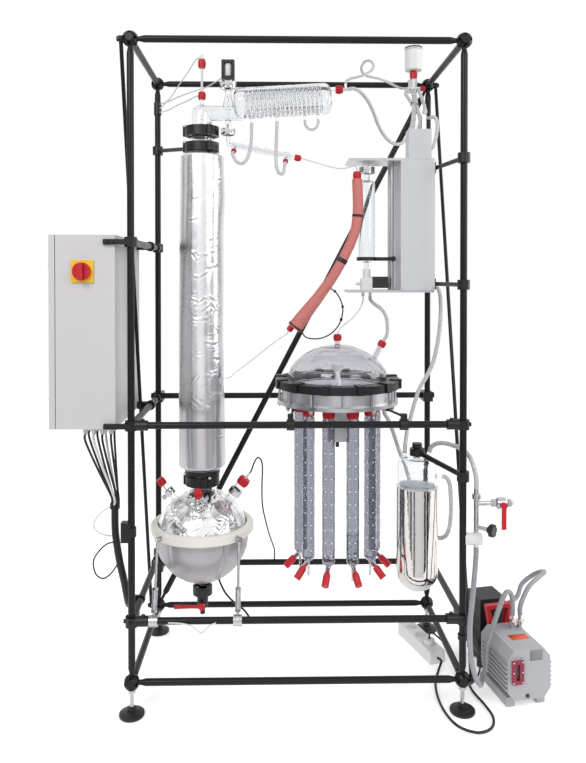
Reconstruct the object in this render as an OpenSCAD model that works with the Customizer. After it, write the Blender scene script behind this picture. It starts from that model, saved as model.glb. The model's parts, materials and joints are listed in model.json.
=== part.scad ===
// Laboratory distillation unit on a tube frame with ball hubs.
// Origin at the centre of the front left foot's base, X right, Y back, Z up, in mm.

/* [Frame] */
// Distance between the left and right posts, centre to centre
frame_w = 1000; // [960:10:1200]
// Distance between the front and rear posts, centre to centre
frame_d = 500; // [490:10:640]
// Height between the lower and upper hubs, centre to centre
frame_h = 1930; // [1900:10:2100]
// Height of the lower hub centres above the floor
hub_z = 100; // [90:1:125]
// Outer diameter of the frame tubes
tube_d = 21.3; // [19:0.1:23]
// Diameter of the ball hubs
hub_d = 48; // [46:1:54]
// Diameter of the thin side braces
brace_d = 12; // [9:0.5:15]
// Height of the middle bars
mid_bar_z = 875; // [860:1:895]
// Height of the lower front bar
low_bar_z = 285; // [260:1:310]
// Height of the upper left side bar that carries the cabinet
top_bar_z = 1425; // [1380:1:1435]
// Height of the lower rear bar
rear_low_z = 247; // [235:1:249]
// Diameter of the foot pads
foot_d = 76; // [60:1:90]

/* [Cabinet] */
// Depth of the cabinet body without its door
cabinet_depth = 177; // [150:1:220]
// Width of the cabinet, along the frame's depth
cabinet_width = 380; // [340:5:440]
// Height of the cabinet
cabinet_height = 580; // [560:5:660]
// Sheet thickness of the cabinet
sheet_t = 2; // [1.5:0.25:3]
// Thickness of the door tray
door_t = 18; // [14:1:24]
// Side length of the main switch plate
switch_plate = 66; // [55:1:80]

/* [Vessel] */
// Outer radius of the glass flask
flask_r = 140; // [125:1:146]
// Height of the flask centre
flask_z = 472; // [465:1:490]
// Distance of the column axis from the left posts
still_x = 192; // [185:1:205]
// Distance of the column axis from the front posts
still_y = 210; // [205:1:230]
// Thickness of the foil cover on the flask
cover_t = 9.6; // [6:0.2:10]
// Thickness of the fabric heating mantle
mantle_t = 13.6; // [9:0.2:14]

/* [Column] */
// Length of the glass column between its joints
column_len = 1092; // [1040:1:1110]
// Outer radius of the glass column
column_r = 40; // [36:0.5:42]
// Outer radius of the foil jacket round the column
jacket_r = 75; // [66:1:82]

/* [Head] */
// Outer radius of the condenser shell
condenser_r = 51; // [49:0.5:54]
// Length of the condenser shell
condenser_len = 320; // [305:1:335]
// Pitch of the glass cooling coil
coil_pitch = 14; // [12.5:0.5:18]
// Lift of the reflux valve rod
reflux_lift = 12; // [6:1:13]

/* [Burette] */
// Width of the burette housing
burette_w = 111; // [100:1:118]
// Height of the burette housing
burette_h = 422; // [415:1:450]
// Depth of the burette housing
burette_d = 150; // [130:1:170]
// Outer radius of the measuring cylinder
burette_r = 27.5; // [24:0.5:30]

/* [Collector] */
// Outer radius of the collector's glass dome
dome_r = 163; // [155:1:168]
// Radius of the circle that the receivers stand on
receiver_circle = 124; // [116:1:130]
// Outer radius of a receiver
receiver_r = 20.5; // [17:0.5:23]
// Length of a receiver's straight glass
receiver_len = 460; // [410:5:480]

/* [Trap] */
// Outer radius of the cold trap's mirror vessel
trap_r = 67; // [58:1:70]
// Length of the mirror vessel
trap_len = 338; // [300:2:350]

/* [Pump] */
// Width of the pump's oil case
pump_w = 142; // [134:1:146]
// Height of the pump's oil case
pump_h = 152; // [146:1:165]

/* [Hidden] */
$fn = 48;
clear = 0.15;
run_fit = 0.05;
part_gap = 0.3;
seam = 0.05;

// Frame
tube_r = tube_d / 2;
hub_flat = hub_d * 0.448;
top_z = hub_z + frame_h;
neck_r = tube_r * 0.7;
neck_l = 6;
cone_l = 14;
clamp_wall = 8;
clamp_h = 30;
socket_wall = 5;
socket_l = 30;
bar_start = tube_r + 9;
rear_bar_y = frame_d + tube_d + 3;
brace_r = brace_d / 2;
brace_eye_r = brace_r + 4;
brace_eye_t = 12;
bolt_r = 4.5;
spindle_r = 6;
spindle_in = 14;
pad_h = 8;
lock_nut_h = 9;

// Cabinet
cab_x1 = -45;
cab_x0 = cab_x1 - cabinet_depth;
cab_y0 = -10;
cab_y1 = cab_y0 + cabinet_width;
cab_z1 = 1446;
cab_z0 = cab_z1 - cabinet_height;
door_gap = 2;
door_x1 = cab_x0 - door_gap;
door_x0 = door_x1 - door_t;
hinge_x = cab_x0 - 1;
hinge_y = cab_y1 + 8;
hinge_r = 6;
hinge_pin_r = 3;
knuckle_h = 20;
hinge_zs = [cab_z0 + 90, cab_z1 - 90];
switch_x = cab_x1 - 96;
switch_z = cab_z1 - 109;
switch_plate_t = 6;
switch_spindle_r = 5;
switch_knob_r = switch_plate * 0.4;
switch_box = 44;
gland_r = 11;
gland_h = 24;
gland_xs = [cab_x1 - 24, cab_x1 - 50, cab_x1 - 76, cab_x1 - 102];
gland_ys = [cab_y0 + 50, cab_y0 + 96];

// Vessel
glass_t = 4;
neck_top = flask_r + 40;
neck_main_r = 42;
flange_r = 45;
flange_t = 10;
neck_side_r = 17;
neck_side_end = flask_r + 66;
neck_tilt = 38;
neck_azimuths = [0, 180, 270];
drain_neck_r = 16;
drain_flange_r = 24;
drain_joint = -(flask_r + 45);
cover_r = flask_r + 0.4 + cover_t;
mantle_r = flask_r + 0.4 + mantle_t;
ring_half = 15;
ring_up = 28;  // support ring's middle above the flask's centre
ring_lean = 5;
ring_in = max(cover_r, mantle_r - 3) + 1;
ring_out = ring_in + 16;
leg_top_r = ring_out + 11;
leg_r = 4;
leg_nut_r = 8.5;
leg_dx = leg_top_r * sin(45);
tap_r = 18;
tap_h = 56;
tap_stem_z = drain_joint - 44;
tap_boss = 8;
lever_pin_r = 4;

// Column
joint_a = flask_z + neck_top;
joint_b = joint_a + column_len;
joint_c = joint_b + 52;
jacket_z0 = joint_a + 38;
jacket_z1 = joint_b - 17;
clamp_ring_r = 56;
clamp_ring_half = 15;

// Head
head_r = 33;
head_top = 56;
pipe_r = 25;
pipe_z = 62;
head_wall = 2.5;
valve_x = 86;
cond_x = 105;
cond_z = 92;
cond_tilt = 3.4;
cond_round = 25;
cond_ports = [0.17, 0.43, 0.72, 0.855];
port_drop = 14;
coil_tube_r = 5;
coil_r = condenser_r - head_wall - coil_tube_r - 0.5;
coil_margin = 34;
coil_turns = floor((condenser_len - 2 * coil_margin) / coil_pitch);
nipple_r = 5;
stem_r = 9;
stem_joint = 152;
stem_top = 222;
magnet_w = 42;
magnet_d = 34;
magnet_z0 = 171;
magnet_h = 62;
magnet_bar = 10;
joint_flange_r = 22;
low_flange_r = 18;
cooler_r = 11;
cooler_tilt = 11;
cooler_len = 222;
cooler_ports = [24, 196];
cap_r = 12;

// Burette
bur_x1 = frame_w - 48;
bur_x0 = bur_x1 - burette_w;
bur_y0 = 170;
bur_y1 = bur_y0 + burette_d;
bur_z0 = 1277;
bur_z1 = bur_z0 + burette_h;
plate_t = 8;
plate_x0 = bur_x0 - 168;
glass_x = bur_x0 - 103;
glass_y = bur_y0 + 68;
glass_z0 = bur_z0 + 91;
glass_z1 = bur_z1 - 58;
rail_r = 6;
rail_x = bur_x0 - 18;
rail_y = glass_y;
sensor_rest = 6;
sensor_h = 12;
sensor_travel = 220;
outlet_xs = [-12, 12];

// Collector
col_x = 640;
col_y = 230;
base_z = 905;
base_t = 12;
base_r = dome_r + 37;
ring_z = base_z + base_t;
spacer_h = 38;
dome_z = ring_z + spacer_h;
dome_flange_r = dome_r + 22;
dome_wall = 4;
dome_side = 44;
dome_arch = 84;
dome_neck_l = 12;
clamp_ring_h = 26;
holder_dx = [-162, 180];
holder_end = [150, -115];
vacuum_port = [158, 20];
receiver_ports = [-90, -54, -18, 18, 54, 90];
port_r = 14;
receiver_top = base_z - 25;
receiver_bottom = receiver_top - receiver_len;
knob_r = 11.5;
knob_l = 42;
knob_start = 26;
knob_tilt = 135;

// Trap
trap_x = frame_w - 109;
trap_y = 150;
trap_z0 = 306;
trap_z1 = trap_z0 + trap_len;
trap_neck_r = 12;
trap_neck_top = 125;
trap_nipple_tilt = 6;
trap_nipple_l = 40;
trap_side_z = 30;
trap_arm_z = 718;

// Vacuum pipe on the right front post
pipe_x = frame_w + 42;
pipe_y = 4;
valve_z = 634;
bleed_z = 562;

// Pump
pump_mid_x = frame_w + 209;
pump_y0 = 12;
pump_turn = 11;
pump_case_l = 172;
pump_feet = 28;
pump_ports = [22, 49];
pump_barb_y = 60;
pump_barb_z = 190;
pump_port_y = pump_case_l - 34;
motor_z = 84;
motor_r = 60;
bearing_r = 50;
bearing_l = 42;
motor_y = pump_case_l + bearing_l + seam;
motor_l = 140;
motor_box_top = 236;
handle_top = 234;

// Cords: places that their routes are measured from
head_at = [still_x, still_y, joint_c];
flask_at = [still_x, still_y, flask_z];
stem_at = [frame_w - 60, frame_d - 30, top_z];
bur_at = [bur_x0, bur_y0, bur_z0];
dome_at = [col_x, col_y, dome_z];
trap_at = [trap_x, trap_y, trap_z1];
post_at = [frame_w, 0, 0];
rear_at = [0, frame_d, top_z];
pump_at = [pump_mid_x, pump_y0, 0];
pump_along = [cos(pump_turn), sin(pump_turn), 0];
pump_back = [-sin(pump_turn), cos(pump_turn), 0];
strip_at = [frame_w - 85, 479, 0];
strip_turn = -71.5;
strip_l = 226;
strip_dir = [cos(strip_turn), sin(strip_turn), 0];
tie_x = cab_x1 - 13;
tie_y = 40;
tie_z = 613;
holder_y = 140;
line_top = bur_at + [-141, 20, 363];
line_end = [496, 208, 1152];
cond_dir = [cos(cond_tilt), 0, sin(cond_tilt)];
cond_down = [sin(cond_tilt), 0, -cos(cond_tilt)];
cool_dir = [cos(cooler_tilt), 0, -sin(cooler_tilt)];
cool_out = sin(45) * [-sin(cooler_tilt), -1, -cos(cooler_tilt)];
cap_out = 37;
function cond_point(x, s) = head_at + [cond_x, 0, cond_z] + s * cond_dir + x * cond_down;
function cooler_point(x, s) = head_at + [valve_x, 0, -40] + s * cool_dir + x * cool_out;
function shift(o, p) = [for (q = p) o + q];
port_out = condenser_r + port_drop;
hose_starts = [for (t = cond_ports) cond_point(port_out, t * condenser_len)];
cooler_ends = [for (c = cooler_ports) cooler_point(cap_out, c)];
tee_end = cond_point(-28, condenser_len + 60);
tee_top = cond_point(-44, condenser_len + 50);
trap_right = trap_at + [36 + trap_nipple_l * sin(trap_nipple_tilt), 0,
            70 + trap_nipple_l * cos(trap_nipple_tilt)];
trap_left = trap_at + [-36 - trap_nipple_l * sin(trap_nipple_tilt), 0,
           70 + trap_nipple_l * cos(trap_nipple_tilt)];
pump_tops = [for (x = pump_ports)
        pump_at + x * pump_along + pump_port_y * pump_back + [0, 0, pump_feet + pump_h + 40]];
barb_end = pump_at + 60 * pump_along + (motor_y + pump_barb_y) * pump_back + [0, 0, pump_barb_z];
lead_start = pump_at + (motor_y + 119) * pump_back + [0, 0, motor_box_top - 20];
probe_end = flask_at + (neck_side_end + 48) * [sin(neck_tilt), 0, cos(neck_tilt)];
neck_out = [sin(28), 0, cos(28)];
dome_neck_end = [col_x + 118, col_y, dome_z + dome_side + 40] + 76 * neck_out;
dome_cap_top = [col_x, col_y, dome_z + dome_side + dome_arch + dome_neck_l + 34];
outlets = [for (x = outlet_xs) [glass_x + x, glass_y, bur_z0 - plate_t - seam - 14]];

// Hose routes, [points, radius]
hose_s = concat([tee_end], shift(head_at, [[500, 3, 145], [525, 28, 140], [553, 60, 120],
    [577, 95, 90], [599, 128, 53], [625, 160, 22]]), shift(stem_at, [[-94, -70, -230],
    [-64, -45, -232], [-35, -22, -215], [-14, -7, -180], [-3, -1, -130], [0, 0, -85],
    [0, 0, -45]]));
hose_loop = concat([tee_top], shift(head_at, [[476, 2, 170], [493, 7, 180], [520, 16, 189],
      [546, 28, 202], [566, 42, 220], [572, 58, 240], [562, 72, 258], [546, 84, 258],
      [536, 94, 242], [542, 104, 226], [560, 116, 218]]), shift(stem_at,
      [[-155, -125, -17], [-115, -85, -17], [-80, -40, -18], [-50, -7, -20],
      [-33, 0, -20], [-24, 0, -20]]));
hose_left = concat([hose_starts[0]], shift(head_at, [[163, -2, 12], [163, -13, -12],
      [162, -25, -38], [158, -33, -66], [150, -38, -92], [135, -42, -109],
      [116, -44, -104]]), [cooler_ends[0] + 14 * cool_out, cooler_ends[0]]);
hose_mid = concat([hose_starts[1]], shift(head_at, [[246, -2, 16], [245, -13, -10],
     [244, -24, -38], [243, -32, -68], [243, -37, -96], [245, -41, -122],
     [254, -44, -141], [266, -44, -140]]), [cooler_ends[1] + 14 * cool_out, cooler_ends[1]]);
hose_short = concat([hose_starts[2], hose_starts[2] - [0, 0, 12]], shift(hose_starts[2],
      [[8, 0, -26], [22, 0, -32], [36, 0, -25]]),
      [hose_starts[3] - [0, 0, 12], hose_starts[3]]);
hose_dose = concat([outlets[1]], shift(bur_at, [[-89, 68, -35], [-75, 67, -49], [-53, 66, -65],
      [-38, 65, -89], [-34, 63, -117]]), [dome_neck_end + 26 * neck_out, dome_neck_end]);
hose_vent = concat([[bur_x1 + seam + 14, bur_y0 + 92, bur_z0 + 15]], shift(bur_at,
      [[137, 92, 13], [149, 90, -15], [151, 86, -67], [147, 84, -127], [137, 85, -197],
      [119, 86, -262], [78, 86, -337]]), shift(trap_at, [[16, 100, 264], [4, 90, 232],
      [-8, 75, 200], [-21, 55, 174], [-30, 30, 149], [-37, 10, 128]]), [trap_left]);
hose_trap = concat([trap_right], shift(trap_at, [[46, -1, 126], [62, -12, 140],
      [81, -32, 146]]), shift(post_at, [[-10, 92, 790], [12, 55, 786],
      [30, 25, 765], [40, 8, 725], [42, 4, 700], [42, 4, 678]]));
hose_inlet = concat([trap_at + [trap_r + 14, 0, trap_side_z]], shift(trap_at, [[93, 0, 28],
      [105, -2, 8], [109, -4, -40], [109, -4, -94], [105, 5, -144], [94, 25, -176],
      [74, 60, -189], [49, 95, -174], [24, 112, -124], [-1, 120, -24], [-41, 112, 96]]),
      shift([col_x + vacuum_port[0], col_y + vacuum_port[1], base_z], [[22, 3, -80],
      [3, 0, -45], [0, 0, -20]]));
hose_pump = concat(shift(post_at, [[42, 4, 500], [40, 0, 470], [34, -9, 425], [26, -20, 375],
      [18, -29, 325], [13, -34, 280], [12, -38, 230], [16, -40, 180], [28, -36, 130],
      [50, -10, 88], [68, 35, 68], [82, 70, 72]]), shift(pump_at, [[-116, 58, 100],
      [-108, 75, 152], [-76, 100, 218], [-50, 120, 267], [-30, 131, 296]]),
      shift(pump_tops[0], [[-8, -1, 74], [-1, 0, 52], [0, 0, 28], [0, 0, 0]]));
hose_out = concat(shift(pump_tops[1], [[0, 0, 0], [0, 0, 22], [12, 8, 48], [40, 30, 78],
     [85, 66, 92], [122, 112, 88], [132, 152, 76], [112, 182, 52], [72, 186, 18],
     [47, 160, -12]]), [barb_end + 31 * pump_along + [0, 0, 4], barb_end]);
// Bundle between the pressure sensor and the burette
bundle_a = concat(shift(stem_at, [[-12, -12, -27], [-25, -18, -30], [-35, -34, -48], [-28, -70, -80],
     [-24, -120, -112]]), shift(bur_at, [[66, 120, 598], [55, 75, 556], [48, 56, 523]]));
bundle_b = concat(shift(stem_at, [[0.5, -12, -27], [0, -24, -34], [-1, -40, -56], [-8, -100, -103]]),
     shift(bur_at, [[85, 140, 607], [80, 90, 570], [70, 65, 538], [68, 58, 523]]));
bundle_c = concat(shift(stem_at, [[13, -12, -27], [15, -24, -34], [20, -60, -75], [17, -110, -110]]),
     shift(bur_at, [[107, 130, 607], [98, 90, 604], [89, 66, 597], [85, 56, 580]]));
side_hose = shift(bur_at, [[106, 56, 573], [118, 54, 574], [127, 50, 564], [128, 45, 539],
     [124, 40, 514], [119, 36, 492], [112, 34, 472], [100, 34, 462]]);
hose_list = [[hose_s, 6], [hose_loop, 4.5], [hose_left, 5.5], [hose_mid, 5.5], [hose_short, 4.5],
      [hose_dose, 6], [hose_vent, 7], [hose_trap, 7.5], [hose_inlet, 7], [hose_pump, 8],
      [hose_out, 8], [bundle_a, 6], [bundle_b, 6], [bundle_c, 6], [side_hose, 6]];

// Black cables
gland_picks = [[0, 0, 0], [1, 0, 315], [2, 0, 270], [3, 0, 225], [0, 1, 45], [1, 1, 90], [2, 1, 135],
      [3, 1, 180]];
gland_cables = [for (i = [0:len(gland_picks) - 1])
          let (g = [gland_xs[gland_picks[i][0]], gland_ys[gland_picks[i][1]], cab_z0 - gland_h],
            e = [tie_x, tie_y, tie_z + 14]
             + 10.9 * [cos(gland_picks[i][2]), sin(gland_picks[i][2]), 0])
          [g, g - [0, 0, 24], 0.55 * g + 0.45 * e - [0, 0, 8], e + [0, 0, 22], e]];
cable_sleeve = [[tie_x, tie_y, tie_z], [tie_x, tie_y - 1, tie_z - 23], [-56, 34, 550],
        [-50, 28, 508], [-40, 26, 450], [-30, 30, 400], [-24, 42, 350], [-23, 66, 310],
        [-23, 100, low_bar_z + 5], [-23, 125, low_bar_z], [-23, holder_y, low_bar_z]];
cable_loop = [[-58, 28, 514], [-78, 24, 510], [-100, 20, 492], [-118, 18, 462], [-112, 16, 424],
       [-90, 16, 408], [-68, 18, 420], [-48, 24, 446]];
probe_lead = concat([probe_end], shift(flask_at, [[162, 0, 209], [170, 1, 232], [182, 2, 250],
      [194, 4, 240], [198, 7, 212], [196, 12, 148], [198, 30, 80], [208, 90, 8]]),
      [[412, 390, 400], [424, frame_d - 20, 330], [430, rear_bar_y - 4, 295],
       [430, rear_bar_y, rear_low_z + tube_r]]);
mantle_lead = concat(shift(flask_at, [[57, -37, -136], [64, -50, -147], [83, -90, -160]]),
       [[305, 70, low_bar_z + 21], [335, 30, low_bar_z + 18], [352, 9, low_bar_z + 7]]);
heat_lead = shift(line_end, [[102, -10, 136], [118, -10, 130], [137, -9, 116], [153, -8, 88],
      [159, -7, 58], [150, -6, 18], [126, -5, -14], [92, -3, -33], [57, -2, -36],
      [34, -2, -28], [22, -1, -8]]);
pump_lead = concat([lead_start, lead_start + 12 * pump_back], shift(pump_at, [[-73, 360, 200],
      [-86, 374, 150], [-103, 370, 90], [-121, 338, 35], [-139, 278, 8], [-159, 178, 6]]),
      shift(post_at, [[60, 180, 6], [58, 100, 6], [76, 20, 6], [82, -40, 6], [62, -88, 6],
      [18, -108, 6], [-28, -84, 6], [-52, -30, 6], [-60, 50, 6], [-50, 140, 6],
      [-25, 205, 10]]), [strip_at + (strip_l + 22) * strip_dir + [0, 0, 20],
      strip_at + strip_l * strip_dir + [0, 0, 20]]);
plug_lead = concat(shift(post_at, [[15, 4, 230], [30, 8, 222], [50, 14, 190], [62, 22, 140],
      [58, 40, 85], [44, 75, 40], [34, 140, 14], [32, 220, 20], [15, 285, 55]]),
      [strip_at + 190 * strip_dir + [15, 8, 76], strip_at + 170 * strip_dir + [4, 0, 80],
      strip_at + 170 * strip_dir + [0, 0, 58 + seam]]);
cable_list = concat([for (g = gland_cables) [g, 3.5]], [[cable_sleeve, 11], [cable_loop, 2.2],
      [probe_lead, 2.5], [mantle_lead, 3], [heat_lead, 2.2], [pump_lead, 4], [plug_lead, 3]]);

// Thin white lines
cool_line = concat([cooler_point(0, cooler_len + 22), cooler_point(0, cooler_len + 37)],
      shift(head_at, [[388, -4, -104], [436, -11, -118]]), shift(line_top, [[-40, 4, 36],
      [-14, 1, 42], [-2, 0, 38], [0, 0, 24]]));
feed_start = line_end + [-20, 0, -10];
feed_line = concat([feed_start, feed_start - [8, 0, 11]], shift(line_end, [[-56, 0, -40],
      [-97, 0, -71], [-146, 0, -110], [-196, 1, -148]]),
      [[still_x + jacket_r + 18, still_y, 990], [still_x + jacket_r, still_y, 985]]);
dome_line = concat([outlets[0]], shift(bur_at, [[-115, 68, -37], [-125, 66, -63],
      [-149, 64, -93], [-179, 62, -117]]), [dome_cap_top + [8, 0.5, 19], dome_cap_top]);
tip_line = concat(shift(head_at, [[-4, 1, 245], [-22, 12, 238], [-52, 60, 214]]),
     shift(rear_at, [[100, -160, -45], [60, -80, -68], [25, -25, -84], [9, -9, -92]]));
magnet_line = concat(shift(head_at, [[66, 1, 178], [52, 4, 170], [30, 22, 162], [-2, 52, 156],
       [-52, 120, 160]]), shift(rear_at, [[90, -100, -72], [45, -40, -74], [9, -9, -76]]));
cap_line = concat(shift(head_at, [[-11, 1, 118], [-27, 10, 116], [-62, 70, 116]]),
     shift(rear_at, [[90, -140, -112], [45, -50, -108], [9, -9, -106]]));
post_line = [[-72, 36, 620], [-92, 28, 608], [-112, 20, 586], [-116, 16, 562], [-98, 16, 546],
      [-80, 22, 537], [-63, 31, 531]];
bar_line = shift([0, -tube_r - 2, low_bar_z], [[111, 0, 0], [150, 0, -2], [178, 0, -9],
     [198, 0, -23], [210, 0, -31], [222, 0, -23], [236, 0, -9], [254, 0, -1]]);
line_list = [cool_line, feed_line, dome_line, tip_line, magnet_line, cap_line, post_line, bar_line];
line_r = 2;

// Insulated line, from its upper cap down
wrap_path = concat([line_top], shift(line_top, [[2, 0, -40], [3, 0, -80], [2, 0, -120],
      [-4, 0, -160], [-17, 0, -200], [-39, 0, -248], [-75, 2, -313]]), shift(line_end,
      [[84, -10, 110], [44, -5, 58], [18, -2, 24], [0, 0, 0]]));
wrap_r = [17, 17, 17, 17, 16.5, 16, 16, 16.5, 18, 21, 23.5, 25];

// Colours
c_frame = [0.10, 0.11, 0.13];
c_clamp = [0.05, 0.05, 0.06];
c_cabinet = [0.82, 0.83, 0.82];
c_yellow = [0.95, 0.78, 0.10];
c_red = [0.78, 0.09, 0.08];
c_steel = [0.72, 0.73, 0.75];
c_glass = [0.80, 0.88, 0.90, 0.45];
c_foil = [0.80, 0.81, 0.83];
c_cream = [0.92, 0.90, 0.84];
c_white = [0.93, 0.93, 0.92];
c_black = [0.06, 0.06, 0.07];
c_grey = [0.55, 0.56, 0.57];
c_hose = [0.85, 0.84, 0.80, 0.8];
c_pink = [0.80, 0.40, 0.40];

// Shared shapes

// Children with their Z axis along the line from a to b.
module along(a, b) {
  d = b - a;
  translate(a)
    rotate([0, acos(d[2] / norm(d)), atan2(d[1], d[0])])
      children();
}

// Straight round bar from a to b.
module bar(a, b, r) {
  along(a, b)
    cylinder(r = r, h = norm(b - a));
}

// Flat ring standing on Z = 0.
module ring(r_out, r_in, h) {
  difference() {
    cylinder(r = r_out, h = h);
    translate([0, 0, -1])
      cylinder(r = r_in, h = h + 2);
  }
}

// Round can with rounded edges, standing on Z = 0.
module round_can(r, h, e) {
  rotate_extrude()
    intersection() {
      union() {
        square([r - e, h]);
        translate([0, e])
          square([r, h - 2 * e]);
        translate([r - e, e])
          circle(r = e);
        translate([r - e, h - e])
          circle(r = e);
      }
      square([r + 1, h]);
    }
}

// Box from one corner to the other.
module box(a, b) {
  translate(a)
    cube(b - a);
}

// Tube whose ends taper down to the hub's thread collar.
module tapered_tube(len, r, end_r, end_l) {
  rotate_extrude()
    polygon([[0, 0], [end_r, 0], [end_r, end_l], [r, end_l + cone_l],
        [r, len - end_l - cone_l], [end_r, len - end_l], [end_r, len], [0, len]]);
}

module at_column(z) {
  translate([still_x, still_y, z])
    children();
}

module at_head() {
  at_column(joint_c)
    children();
}

module at_collector(z) {
  translate([col_x, col_y, z])
    children();
}

module at_condenser() {
  at_head()
    translate([cond_x, 0, cond_z])
      rotate([0, 90 - cond_tilt, 0])
        children();
}

module at_cooler() {
  at_head()
    translate([valve_x, 0, -40])
      rotate([0, 90 + cooler_tilt, 0])
        children();
}

// Frame

module frame_tubes() {
  run_x = frame_w - 2 * hub_flat;
  run_y = frame_d - 2 * hub_flat;
  run_z = frame_h - 2 * hub_flat;
  brace_end = hub_d / 2 + part_gap;
  color(c_frame) {
    for (x = [0, frame_w], y = [0, frame_d])
      translate([x, y, hub_z + hub_flat])
        tapered_tube(run_z, tube_r, neck_r, neck_l);
    for (y = [0, frame_d], z = [hub_z, top_z])
      translate([hub_flat, y, z])
        rotate([0, 90, 0])
          tapered_tube(run_x, tube_r, neck_r, neck_l);
    for (x = [0, frame_w], z = [hub_z, top_z])
      translate([x, hub_flat, z])
        rotate([-90, 0, 0])
          tapered_tube(run_y, tube_r, neck_r, neck_l);
    // Cross bars between the posts
    for (z = [mid_bar_z, low_bar_z])
      bar([bar_start, 0, z], [frame_w - bar_start, 0, z], tube_r);
    for (z = [mid_bar_z, rear_low_z])
      bar([-30, rear_bar_y, z], [frame_w + 30, rear_bar_y, z], tube_r);
    for (z = [mid_bar_z, top_bar_z])
      bar([0, bar_start, z], [0, frame_d - bar_start, z], tube_r);
    for (x = [0, frame_w])
      bar([x, bar_start, low_bar_z], [x, frame_d - bar_start, low_bar_z], tube_r);
    // Rear diagonal
    along([0, frame_d, hub_z], [frame_w, frame_d, top_z])
      translate([0, 0, brace_end])
        tapered_tube(norm([frame_w, frame_h]) - 2 * brace_end, tube_r, neck_r - 2, 20);
    side_brace(-1, 0, 0, frame_d);
    side_brace(1, frame_w, frame_d, 0);
  }
}

// Thin diagonal outside a side face, with an eye at each hub.
module side_brace(side, x, y_top, y_low) {
  eye_x = x + side * (hub_flat + part_gap);
  mid_x = eye_x + side * brace_eye_t / 2;
  difference() {
    union() {
      bar([mid_x, y_top, top_z], [mid_x, y_low, hub_z], brace_r);
      for (p = [[y_top, top_z], [y_low, hub_z]])
        translate([mid_x, p[0], p[1]])
          rotate([0, 90, 0])
            cylinder(r = brace_eye_r, h = brace_eye_t, center = true);
    }
    for (p = [[y_top, top_z], [y_low, hub_z]])
      translate([mid_x, p[0], p[1]])
        rotate([0, 90, 0])
          cylinder(r = bolt_r + clear, h = brace_eye_t + 2, center = true);
  }
}

module frame_hubs() {
  hole_r = hub_d * 0.1;
  hole_l = hub_d * 0.2;
  color(c_frame)
    for (x = [0, frame_w], y = [0, frame_d], z = [hub_z, top_z])
      translate([x, y, z])
        difference() {
          intersection() {
            sphere(d = hub_d);
            cube(2 * hub_flat, center = true);
          }
          for (a = [45:90:315]) {
            rotate([0, 90, a])
              translate([0, 0, hub_d / 2 - hole_l])
                cylinder(r = hole_r, h = hole_l + 1);
            rotate([0, a, 0])
              translate([0, 0, hub_d / 2 - hole_l])
                cylinder(r = hole_r, h = hole_l + 1);
            rotate([a, 0, 0])
              translate([0, 0, hub_d / 2 - hole_l])
                cylinder(r = hole_r, h = hole_l + 1);
          }
          if (z == hub_z)
            translate([0, 0, -hub_flat - 1])
              cylinder(r = spindle_r + run_fit, h = spindle_in + 1);
        }
}

// Casting round a post with sockets for bars that end there.
module post_clamp(angles) {
  difference() {
    union() {
      cylinder(r = tube_r + clamp_wall, h = clamp_h, center = true);
      for (a = angles)
        rotate([0, 0, a]) {
          rotate([0, 90, 0])
            cylinder(r = tube_r + socket_wall, h = bar_start + socket_l);
          translate([bar_start + socket_l / 2, 0, tube_r + socket_wall - 1])
            cylinder(r = 6, h = 5, $fn = 6);
        }
      for (a = angles)
        rotate([0, 0, a + 180])
          translate([tube_r + clamp_wall - 2, 0, 0])
            rotate([0, 90, 0])
              cylinder(r = 7, h = 7, $fn = 6);
    }
    cylinder(r = tube_r + clear, h = clamp_h + 2, center = true);
    for (a = angles)
      rotate([0, 0, a])
        translate([bar_start - part_gap, 0, 0])
          rotate([0, 90, 0])
            cylinder(r = tube_r + clear, h = socket_l + 10);
  }
}

// Block that holds a bar across the back of a post.
module cross_clamp(socket) {
  reach = rear_bar_y - frame_d;
  wall = tube_r + 7;
  difference() {
    union() {
      box([-wall, -wall, -wall], [wall, reach + wall, wall]);
      if (socket)
        rotate([90, 0, 0])
          cylinder(r = tube_r + socket_wall, h = bar_start + socket_l);
    }
    if (socket)
      translate([0, -bar_start + part_gap, 0])
        rotate([90, 0, 0])
          cylinder(r = tube_r + clear, h = socket_l + 10);
    cylinder(r = tube_r + clear, h = 4 * wall, center = true);
    translate([0, reach, 0])
      rotate([0, 90, 0])
        cylinder(r = tube_r + clear, h = 4 * wall, center = true);
  }
}

// Ring on a post with a flat arm to the cabinet's front wall.
module cabinet_post_arm() {
  arm_h = 16;
  arm_t = 9;
  difference() {
    union() {
      cylinder(r = tube_r + clamp_wall, h = clamp_h, center = true);
      rotate([0, 0, 90])
        rotate([0, 90, 0])
          cylinder(r = tube_r + socket_wall, h = bar_start + socket_l);
      box([cab_x1 - 34, cab_y0 - arm_t, -arm_h / 2], [0, cab_y0, arm_h / 2]);
      for (x = [cab_x1 - 22, cab_x1 - 8])
        translate([x, cab_y0 - arm_t + 1, 0])
          rotate([90, 0, 0])
            cylinder(r = 6, h = 6, $fn = 6);
    }
    cylinder(r = tube_r + clear, h = clamp_h + 2, center = true);
    translate([0, bar_start - part_gap, 0])
      rotate([-90, 0, 0])
        cylinder(r = tube_r + clear, h = socket_l + 10);
  }
}

// Ring on a left side bar with an arm to the cabinet's side wall.
module cabinet_bar_arm() {
  arm = 24;
  difference() {
    union() {
      rotate([90, 0, 0])
        cylinder(r = tube_r + 6, h = arm, center = true);
      box([cab_x1, -arm / 2, -arm / 2], [0, arm / 2, arm / 2]);
    }
    rotate([90, 0, 0])
      cylinder(r = tube_r + clear, h = arm + 2, center = true);
  }
}

// Ring on a post with a rod to a point, measured from the post's axis.
module post_rod(reach, r) {
  difference() {
    union() {
      cylinder(r = tube_r + clamp_wall, h = clamp_h, center = true);
      bar([0, 0, 0], reach, r);
    }
    cylinder(r = tube_r + clear, h = clamp_h + 2, center = true);
  }
}

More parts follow.
